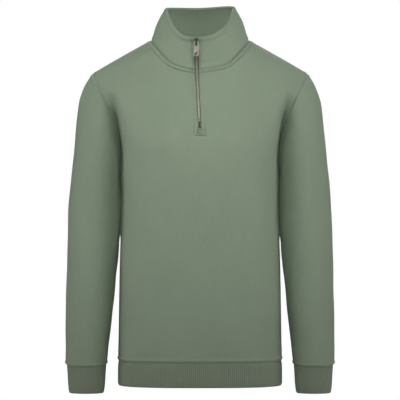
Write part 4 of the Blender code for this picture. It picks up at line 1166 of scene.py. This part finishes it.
def closed_sweep(name, grid, finish):
    """A piece through closed sections, with a face at each end."""
    rows, count = grid.shape[:2]
    whole = np.concatenate([grid, grid[:, :1]], axis=1)
    uv = np.stack([arc_lengths(whole, 1), arc_lengths(whole, 0)], axis=-1).reshape(-1, 2)
    quads, marks = cloth_faces(rows, count, closed=True)
    first, last = np.arange(count)[::-1], (rows - 1) * count + np.arange(count)
    corners = np.concatenate([marks.ravel(), first, last + rows - 1])
    return cloth_object(name, grid.reshape(-1, 3), [*quads, first, last], uv[corners], finish)


def one_tooth():
    """One tooth: a rounded metal block with a nose that fits between two teeth of the other side."""
    bpy.ops.object.select_all(action="DESELECT")
    bpy.ops.mesh.primitive_cube_add(size=1)
    tooth = bpy.context.object
    tooth.scale = (TOOTH_LONG, TOOTH_HIGH, TOOTH_DEEP)
    bpy.ops.object.transform_apply(scale=True)
    bpy.ops.object.mode_set(mode="EDIT")
    bpy.ops.mesh.select_all(action="DESELECT")
    mesh = bmesh.from_edit_mesh(tooth.data)
    for face in mesh.faces:
        face.select = face.normal.x < -0.9
    bpy.ops.transform.resize(value=TOOTH_NOSE)
    bpy.ops.mesh.select_all(action="SELECT")
    bpy.ops.mesh.bevel(offset=TOOTH_BEVEL, segments=1, affect="EDGES")
    bpy.ops.object.mode_set(mode="OBJECT")
    return tooth


def placed_copies(name, pattern, places, finish):
    """One piece of many copies of a pattern. Each place gives its three directions and its origin."""
    shape = np.array([v.co for v in pattern.data.vertices])
    pattern_faces = [list(p.vertices) for p in pattern.data.polygons]
    bpy.data.objects.remove(pattern)
    points, faces = [], []
    for k, (first, second, third, origin) in enumerate(places):
        points.append(shape @ np.array([first, second, third]) + origin)
        faces += [[v + k * len(shape) for v in face] for face in pattern_faces]
    return new_piece(name, np.concatenate(points), faces, finish, sharp=50)


def unit(vector):
    return vector / np.linalg.norm(vector)


def zip_teeth(slit, finish):
    """The closed chain, with the two sides' teeth by turns."""
    along = np.arange(CHAIN_END_Z + FIRST_TOOTH, CHAIN_TOP_Z - LAST_TOOTH, TOOTH_PITCH / 2)
    places = []
    for k, z in enumerate(along):
        side = 1 if k % 2 else -1
        row = slit.row_at(z)
        here = slit.place(side, row, TOOTH_AT, TOOTH_DEPTH)
        beyond = slit.place(side, slit.row_at(z + TOOTH_SIGHT), TOOTH_AT, TOOTH_DEPTH)
        across = unit(slit.place(side, row, TOOTH_AT + 1, TOOTH_DEPTH) - here)
        up = unit(beyond - here)
        out = np.cross(across, up) * side
        places.append((across, up, out, here))
    return placed_copies("zip_teeth", one_tooth(), places, finish)


# ---------------------------------------------------------------- sewing


def one_stitch():
    """One stitch of thread, lying along its own X, which is one millimetre long until it is placed."""
    bpy.ops.object.select_all(action="DESELECT")
    bpy.ops.mesh.primitive_uv_sphere_add(segments=6, ring_count=4, radius=0.5, rotation=(0, math.pi / 2, 0))
    stitch = bpy.context.object
    bpy.ops.object.transform_apply(rotation=True)
    return stitch


def on_the_cloth(cloth, point, outward):
    """The place on a piece's face that a point lies over, and the face's own direction there."""
    found, spot, normal, _ = cloth.ray_cast(Vector(point + outward * STITCH_REACH) * MM, Vector(-outward))
    if not found:
        _, spot, normal, _ = cloth.closest_point_on_mesh(Vector(point) * MM)
    return np.array(spot) / MM, np.array(normal)


def stitch_line(name, paths, finish):
    """Stitches along paths. A path is the cloth that it lies on, its points, and outward directions."""
    places = []
    for cloth, points, outward in paths:
        length = arc_lengths(points[:, None], 0)[-1, 0]
        shares = np.linspace(0, 1, max(2, round(length / STITCH_PITCH)) + 1)
        line, out = spaced(points, shares), read_along(points, outward, shares)
        spots = [on_the_cloth(cloth, point, ahead) for point, ahead in zip(line, out)]
        for (start, face), (end, _) in zip(spots, spots[1:]):
            along = end - start
            if np.linalg.norm(along) > 2 * STITCH_PITCH:
                continue
            side = unit(np.cross(face, along))
            up = np.cross(unit(along), side)
            middle = (start + end) / 2 + face * THREAD_RAISE
            places.append((along * STITCH_SHARE, side * THREAD_WIDE, up * THREAD_WIDE * THREAD_FLAT, middle))
    return placed_copies(name, one_stitch(), places, finish)


def line_at(points, distances, distance):
    """The line across a grid's columns where a distance, which grows along each column, has a value."""
    line = []
    for column, along in zip(points.swapaxes(0, 1), distances.T):
        line.append([np.interp(distance, along, column[:, k]) for k in range(3)])
    return np.array(line)


def beside_neck(grid, from_neck, distance):
    """The line on a panel at a distance from its neckline, ending on the shoulder seams."""
    near = np.flatnonzero(from_neck[-1] < distance)
    line = list(line_at(grid[::-1, near], from_neck[::-1, near], distance))
    for inside, outside, place in ((near[0], near[0] - 1, 0), (near[-1], near[-1] + 1, len(line))):
        if 0 <= outside < grid.shape[1]:
            here, there = from_neck[-1, inside], from_neck[-1, outside]
            share = (distance - here) / (there - here)
            line.insert(place, grid[-1, inside] * (1 - share) + grid[-1, outside] * share)
    return np.array(line)


def zip_line(across, z):
    """Points of the front beside the zip, at distances across from it and heights."""
    return front_point(across + zip_lean(z), z)


# ---------------------------------------------------------------- finishes


def linear(hex_colour):
    """An sRGB hex colour as the linear colour that a shader takes."""
    channels = [int(hex_colour[k : k + 2], 16) / 255 for k in (1, 3, 5)]
    return (*(c / 12.92 if c <= 0.04045 else ((c + 0.055) / 1.055) ** 2.4 for c in channels), 1)


def join(tree, node, inputs):
    """Sets a node's inputs. Each is a plain value or another node's output."""
    for name, value in inputs.items():
        if isinstance(value, bpy.types.NodeSocket):
            tree.links.new(value, node.inputs[name])
        else:
            node.inputs[name].default_value = value


def add(tree, kind, inputs=None, **settings):
    """Adds a node with its settings and its inputs."""
    made = tree.nodes.new("ShaderNode" + kind)
    for name, value in settings.items():
        setattr(made, name, value)
    join(tree, made, inputs or {})
    return made


def new_finish(name, colour, roughness, metallic=0.0):
    """A material, its tree and its shader, before its patterns."""
    made = bpy.data.materials.new(name)
    made.use_nodes = True
    made.diffuse_color = linear(colour)
    shader = made.node_tree.nodes["Principled BSDF"]
    plain = {"Base Color": linear(colour), "Roughness": roughness, "Metallic": metallic}
    join(made.node_tree, shader, plain)
    return made, made.node_tree, shader


def on_cloth(tree, across, up):
    """Coordinates along the cloth that go up by one for each so many millimetres across and up."""
    uv = add(tree, "UVMap", uv_map="cloth").outputs["UV"]
    scale = (1 / (across * MM), 1 / (up * MM), 1)
    return add(tree, "Mapping", {"Vector": uv, "Scale": scale}).outputs["Vector"]


def knitted(name, dark, base, light):
    """Cotton fleece-back jersey, brushed and matt. Its loops make fine upright lines, its yarn is a little
    uneven, and loose fibres give its edges a pale sheen."""
    made, tree, shader = new_finish(name, base, 0.92)
    tone, shares = TONE_START, {}
    for pattern in (YARN, NAP, CLOUD):
        place = on_cloth(tree, pattern.across, pattern.up)
        noise = add(tree, "TexNoise", {"Vector": place, "Scale": 1.0, "Detail": pattern.detail}).outputs[0]
        shares[pattern] = add(tree, "MapRange", {"Value": noise, **NOISE_RANGE}).outputs[0]
        weighed = {0: shares[pattern], 1: pattern.share, 2: tone}
        tone = add(tree, "Math", weighed, operation="MULTIPLY_ADD").outputs[0]
    colour = add(tree, "Mix", {"Factor": tone, 6: linear(dark), 7: linear(light)}, data_type="RGBA")
    lines = {"Vector": on_cloth(tree, WALE, WALE_WANDER), "Scale": BAND_SCALE}
    lines.update({"Distortion": 1.2, "Detail": 2.0})
    wales = add(tree, "TexWave", lines, wave_type="BANDS", bands_direction="X").outputs["Fac"]
    height = add(tree, "Math", {0: shares[NAP], 1: NAP_HEIGHT, 2: wales}, operation="MULTIPLY_ADD").outputs[0]
    bump = add(tree, "Bump", {"Height": height, "Strength": 0.6, "Distance": LOOP_HEIGHT * MM})
    fibres = {"Sheen Weight": 0.22, "Sheen Roughness": 0.45, "Sheen Tint": linear(light)}
    join(tree, shader, {"Base Color": colour.outputs[2], "Normal": bump.outputs[0], **fibres})
    join(tree, shader, {"Specular IOR Level": 0.25})
    return made


def woven_tape():
    """Polyester zip tape, woven in a fine herringbone, with a slight gloss."""
    made, tree, shader = new_finish("zip_tape_weave", TAPE_COLOUR, 0.7)
    lines = {"Vector": on_cloth(tree, WEAVE, WEAVE), "Scale": BAND_SCALE, "Distortion": 0.4}
    weave = add(tree, "TexWave", lines, wave_type="BANDS", bands_direction="DIAGONAL").outputs["Fac"]
    ends = {6: linear(TAPE_DARK), 7: linear(TAPE_COLOUR)}
    colour = add(tree, "Mix", {"Factor": weave, **ends}, data_type="RGBA")
    bump = add(tree, "Bump", {"Height": weave, "Strength": 0.5, "Distance": WEAVE_HEIGHT * MM})
    join(tree, shader, {"Base Color": colour.outputs[2], "Normal": bump.outputs[0]})
    return made


def antique_nickel(name, colour, worn, roughness):
    """Zinc, die cast and plated with antique nickel: a warm soft gloss, rubbed brighter in places."""
    made, tree, shader = new_finish(name, colour, roughness, metallic=1.0)
    place = add(tree, "TexCoord").outputs["Object"]
    wear = add(tree, "TexNoise", {"Vector": place, "Scale": 1 / (WEAR_PATCH * MM), "Detail": 4.0}).outputs[0]
    grain = add(tree, "TexNoise", {"Vector": place, "Scale": 1 / (CAST_GRAIN * MM), "Detail": 2.0}).outputs[0]
    ends = {6: linear(colour), 7: linear(worn)}
    rubbed = add(tree, "Mix", {"Factor": wear, **ends}, data_type="RGBA")
    gloss = add(tree, "MapRange", {"Value": wear, "To Min": roughness + 0.12, "To Max": roughness - 0.1})
    bump = add(tree, "Bump", {"Height": grain, "Strength": 0.25, "Distance": CAST_GRAIN_HEIGHT * MM})
    surface = {"Base Color": rubbed.outputs[2], "Roughness": gloss.outputs[0], "Normal": bump.outputs[0]}
    join(tree, shader, surface)
    return made


def thread_finish():
    """Polyester sewing thread in the cloth's sage: a twisted strand with a small gloss. It is painted darker
    than the cloth, as painted shade of the grooves that its stitches lie in.
    """
    made, tree, shader = new_finish("sewing_thread_painted_shade", THREAD_SHADED_COLOUR, 0.6)
    place = add(tree, "TexCoord").outputs["Object"]
    ply = add(tree, "TexNoise", {"Vector": place, "Scale": 1 / (PLY * MM)}).outputs[0]
    ends = {6: linear(THREAD_SHADED_DARK), 7: linear(THREAD_SHADED_COLOUR)}
    colour = add(tree, "Mix", {"Factor": ply, **ends}, data_type="RGBA")
    join(tree, shader, {"Base Color": colour.outputs[2]})
    return made


# ---------------------------------------------------------------- making


def declare(piece, node):
    """A piece stands for a solid, which is hidden, and rides with the garment."""
    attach(piece, "garment")
    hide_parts(node)


def declare_trim(piece):
    """A piece that the solids leave out."""
    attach(piece, "garment")


def neck_ring(front, back):
    """The neckline's points, from the slit round the neck to the slit."""
    in_front, behind = front[-1, FRONT_NECKLINE], back[-1, BACK_NECKLINE]
    return np.concatenate([in_front[FRONT_NECK:], behind[-2:0:-1], in_front[:FRONT_NECK]])


def split_neckline(line):
    """The neckline's parts on the front and on the back, each in the order of that panel's columns."""
    in_front = np.concatenate([line[-FRONT_NECK:], line[:FRONT_NECK]])
    return in_front, line[FRONT_NECK - 1 : len(line) - FRONT_NECK + 1][::-1]


def armhole_ring(front, back, side):
    """The armhole's points on the wearer's left (1) or right (-1), up in front and down behind."""
    column = -1 if side > 0 else 0
    return np.concatenate([front[ARMHOLE_ROWS, column][::-1], back[ARMHOLE_ROWS, column][1:-1]])


def sew_collar(front, back, collar):
    """The neckline's three edges are brought to one line."""
    line = (neck_ring(front, back) + collar[0]) / 2
    sewn = []
    for panel, part, edge in zip((front, back), (FRONT_NECKLINE, BACK_NECKLINE), split_neckline(line)):
        shift = np.zeros(panel[-1].shape)
        shift[part] = edge - panel[-1, part]
        sewn.append(follow(panel, arc_lengths(panel[::-1], 0)[::-1], shift))
    return (*sewn, follow(collar, arc_lengths(collar, 0), line - collar[0]))


def sew_sleeve(front, back, sleeve, side):
    """An armhole's edges and the sleeve's first ring are brought to one line."""
    line = (armhole_ring(front, back, side) + sleeve[0]) / 2
    count = len(HIGH_ROWS)
    edges = (line[:count][::-1], np.concatenate([line[count - 1 :], line[:1]]))
    sewn = []
    for panel, edge in zip((front, back), edges):
        from_armhole = panel[ARMHOLE_ROWS, ::-side]
        shift = (edge - from_armhole[:, 0])[:, None]
        moved = follow(from_armhole, arc_lengths(from_armhole, 1), shift)
        sewn.append(np.concatenate([panel[: len(LOW_ROWS)], moved[:, ::-side]]))
    return (*sewn, follow(sleeve, arc_lengths(sleeve, 0), line - sleeve[0]))


def creased(plain, relief, into_body, closed=False):
    """A piece's face with its relief and the crease at the armpit."""
    return plain + grid_normals(plain, closed) * relief[..., None] + armpit_crease(plain, into_body)


def sewn_forms(front_plain, back_plain, collar_plain, from_neck):
    """The outer faces of the front, the back, the collar and the two sleeves, with their edges joined."""
    sleeve_plain = sleeve_grid(armhole_ring(front_plain, back_plain, 1))
    front_face = front_relief(front_plain, from_neck[0])
    front = creased(front_plain, front_face, from_sides(front_plain))
    back = creased(back_plain, panel_relief(back_plain, from_neck[1]), from_sides(back_plain))
    collar = collar_plain + grid_normals(collar_plain) * collar_relief(collar_plain)[..., None]
    front, back, collar = sew_collar(front, back, collar)
    sleeves = []
    for side, _ in SIDES:
        relief = sleeve_relief(sleeve_plain, side)
        sleeve = creased(sleeve_plain, relief, -arc_lengths(sleeve_plain, 0), closed=True) * [side, 1, 1]
        front, back, sleeve = sew_sleeve(front, back, sleeve, side)
        sleeves.append(sleeve)
    return front, back, collar, sleeves


def make_cut_pieces(fleece, thread):
    """The panels, collar and sleeves, with their seams and topstitching."""
    front_plain, back_plain = front_grid(), back_grid()
    neckline = neck_ring(front_plain, back_plain)
    collar_plain = collar_grid(neckline)
    edges = split_neckline(neckline)
    from_neck = [distance_to(plain, edge) for plain, edge in zip((front_plain, back_plain), edges)]
    front, back, collar, sleeves = sewn_forms(front_plain, back_plain, collar_plain, from_neck)

    across = level_places(front_point, front_plain)
    slit = (slice(SLIT_ROW, None), FRONT_MIDDLE - 1)
    front_piece = cloth_wall("front_panel_cloth", front, FLEECE, fleece, across, gap=slit)
    declare(front_piece, "front_panel")
    across = level_places(back_point, back_plain)
    back_piece = cloth_wall("back_panel_cloth", back, FLEECE, fleece, across)
    declare(back_piece, "back_panel")
    along = arc_lengths(collar, 1)
    across = (along / along[:, -1:] - 0.5) * along[:, -1].mean()
    thickness = collar_wall(collar_plain)
    collar_piece = cloth_wall("collar_cloth", collar, thickness, fleece, across, turned_top=True)
    declare(collar_piece, "collar")
    underarm = int(np.argmin(np.abs(ARM_TURNS - math.pi)))
    for (_, word), sleeve in zip(SIDES, sleeves):
        from_underarm = np.roll(sleeve, -underarm, axis=1)
        piece = cloth_wall(f"sleeve_{word}_cloth", from_underarm, FLEECE, fleece, closed=True)
        declare(piece, f"sleeve_{word}")

    panels = ((front_piece, front, front_plain, from_neck[0]), (back_piece, back, back_plain, from_neck[1]))
    neck_topstitching(panels, thread)
    zip_topstitching(front_piece, collar_piece, collar, thread)
    return front_plain, collar_plain


def neck_topstitching(panels, thread):
    """Stitching round the neckline, on the two halves of the front and on the back."""
    halves = (slice(FRONT_MIDDLE + 2, None), slice(0, FRONT_MIDDLE - 2))
    paths = []
    for (piece, grid, plain, from_neck), parts in zip(panels, (halves, (slice(None),))):
        outward = grid_normals(plain).reshape(-1, 3)
        for part in parts:
            line = beside_neck(grid[:, part], from_neck[:, part], NECK_STITCH)
            nearest = [np.linalg.norm(grid - point, axis=2).argmin() for point in line]
            paths.append((piece, line, outward[nearest]))
    declare_trim(stitch_line("neck_stitches", paths, thread))


def zip_topstitching(front_piece, collar_piece, collar, thread):
    """Stitching down both sides of the slit and across below it, and a small box at its lower end."""
    rise = np.linspace(ZIP_STITCH_Z, -FRONT_NECK_DROP - 2, 60)
    foot = np.linspace(-ZIP_STITCH, ZIP_STITCH, 12)
    box_z = np.array([0, 0, -1, -1, 0]) * BOX_HIGH + BOX_TOP_Z
    box_x = np.array([-1, 1, 1, -1, -1]) * BOX_HALF
    outline = [
        zip_line(-ZIP_STITCH, rise[::-1]),
        zip_line(foot, np.full(len(foot), ZIP_STITCH_Z)),
        zip_line(ZIP_STITCH, rise),
        zip_line(box_x, box_z),
    ]
    paths = [(front_piece, line, np.tile(-1.0 * BACKWARD, (len(line), 1))) for line in outline]
    across, outward = arc_lengths(collar, 1), grid_normals(collar)
    from_both_ends = ((collar, across, 0), (collar[:, ::-1], (across[:, -1:] - across)[:, ::-1], -1))
    for points, distances, end in from_both_ends:
        line = line_at(points.swapaxes(0, 1), distances.T, ZIP_STITCH - SLIT_HALF)
        paths.append((collar_piece, line[1:-2], outward[1:-2, end]))
    declare_trim(stitch_line("zip_stitches", paths, thread))


def make_bands(rib):
    """The waistband and the two cuffs."""
    waistband = ribbed_band("waistband_rib", band_ring, WAIST_LINES, WAIST_RIBS, WAIST_RIB_POINTS, rib)
    declare(waistband, "waistband")
    for side, word in SIDES:
        name = f"cuff_{word}_rib"
        cuff = ribbed_band(name, cuff_ring, CUFF_LINES, CUFF_RIBS, CUFF_RIB_POINTS, rib, side)
        declare(cuff, f"cuff_{word}")


def make_zip(front, collar, tape, teeth_metal, cast_metals):
    """The tapes and teeth, and the worn edges of the solids' own stop, slider and tab."""
    slit = Slit(front, collar, grid_normals(front), grid_normals(collar))
    for side, word in SIDES:
        piece = zip_tape(f"zip_tape_{word}_weave", slit, side, tape)
        declare(piece, f"zip_tape_{word}")
    declare_trim(zip_teeth(slit, teeth_metal))
    for name, metal in cast_metals.items():
        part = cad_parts[name]
        part.data.materials.clear()
        part.data.materials.append(metal)
        bevel = part.modifiers.new("worn edges", "BEVEL")
        bevel.width = CAST_BEVEL * MM
        bevel.segments = 2
        bevel.limit_method = "ANGLE"
        bevel.angle_limit = math.radians(40)


def area_light(lamp):
    light = bpy.data.lights.new(lamp.name, "AREA")
    light.shape = "DISK"
    light.color = linear(lamp.tint)[:3]
    light.size, light.energy, light.spread = lamp.size, lamp.power, math.radians(lamp.spread)
    placed = bpy.data.objects.new(lamp.name, light)
    placed.location = lamp.place
    toward = Vector(lamp.aim) - Vector(lamp.place)
    placed.rotation_euler = toward.to_track_quat("-Z", "Y").to_euler()
    bpy.context.scene.collection.objects.link(placed)


def make_stage():
    """A plain pale floor where a wearer's feet would be, soft light, and the camera in front."""
    bpy.ops.object.select_all(action="DESELECT")
    bpy.ops.mesh.primitive_plane_add(size=5, location=(0, 0, FLOOR_Z))
    floor = bpy.context.object
    floor.name = "floor"
    pale, _, _ = new_finish("pale_floor", "#F2F2F0", 0.8)
    floor.data.materials.append(pale)

    world = bpy.data.worlds.new("studio")
    world.use_nodes = True
    bpy.context.scene.world = world
    tree = world.node_tree
    tree.nodes.clear()
    seen = add(tree, "Background", {"Color": (1, 1, 1, 1), "Strength": 1.0})
    lit = add(tree, "Background", {"Color": (1, 1, 1, 1), "Strength": AMBIENT})
    path = add(tree, "LightPath")
    ends = {0: path.outputs["Is Camera Ray"], 1: lit.outputs[0], 2: seen.outputs[0]}
    add(tree, "OutputWorld", {0: add(tree, "MixShader", ends).outputs[0]})

    for lamp in LAMPS:
        area_light(lamp)

    lens = bpy.data.cameras.new("camera")
    lens.lens, lens.sensor_width = CAMERA_LENS, 36
    camera = bpy.data.objects.new("camera", lens)
    camera.location = (0, -CAMERA_AWAY, CAMERA_Z)
    camera.rotation_euler = (math.pi / 2, 0, 0)
    bpy.context.scene.collection.objects.link(camera)
    bpy.context.scene.camera = camera
    bpy.context.scene.view_settings.view_transform = "Standard"


def main():
    bpy.ops.object.select_all(action="DESELECT")
    make_stage()
    fleece = knitted("brushed_fleece_jersey", FLEECE_DARK, FLEECE_COLOUR, FLEECE_LIGHT)
    rib = knitted("rib_knit", RIB_DARK, RIB_COLOUR, RIB_LIGHT)
    tape = woven_tape()
    thread = thread_finish()
    teeth_metal = antique_nickel("antique_brass_teeth", TEETH_COLOUR, TEETH_WORN, 0.5)
    tab_metal = antique_nickel("antique_nickel", TAB_COLOUR, TAB_WORN, 0.4)
    # The slider's near-black colour is painted shade of the gap round it and of the tab's slot
    slider_shade_metal = antique_nickel("slider_painted_shade_nickel", SLIDER_SHADE_COLOUR, SLIDER_SHADE_WORN, 0.5)
    cast_metals = {"pull_tab": tab_metal, "zip_slider": slider_shade_metal, "zip_stop": tab_metal}
    front, collar = make_cut_pieces(fleece, thread)
    make_bands(rib)
    make_zip(front, collar, tape, teeth_metal, cast_metals)


main()
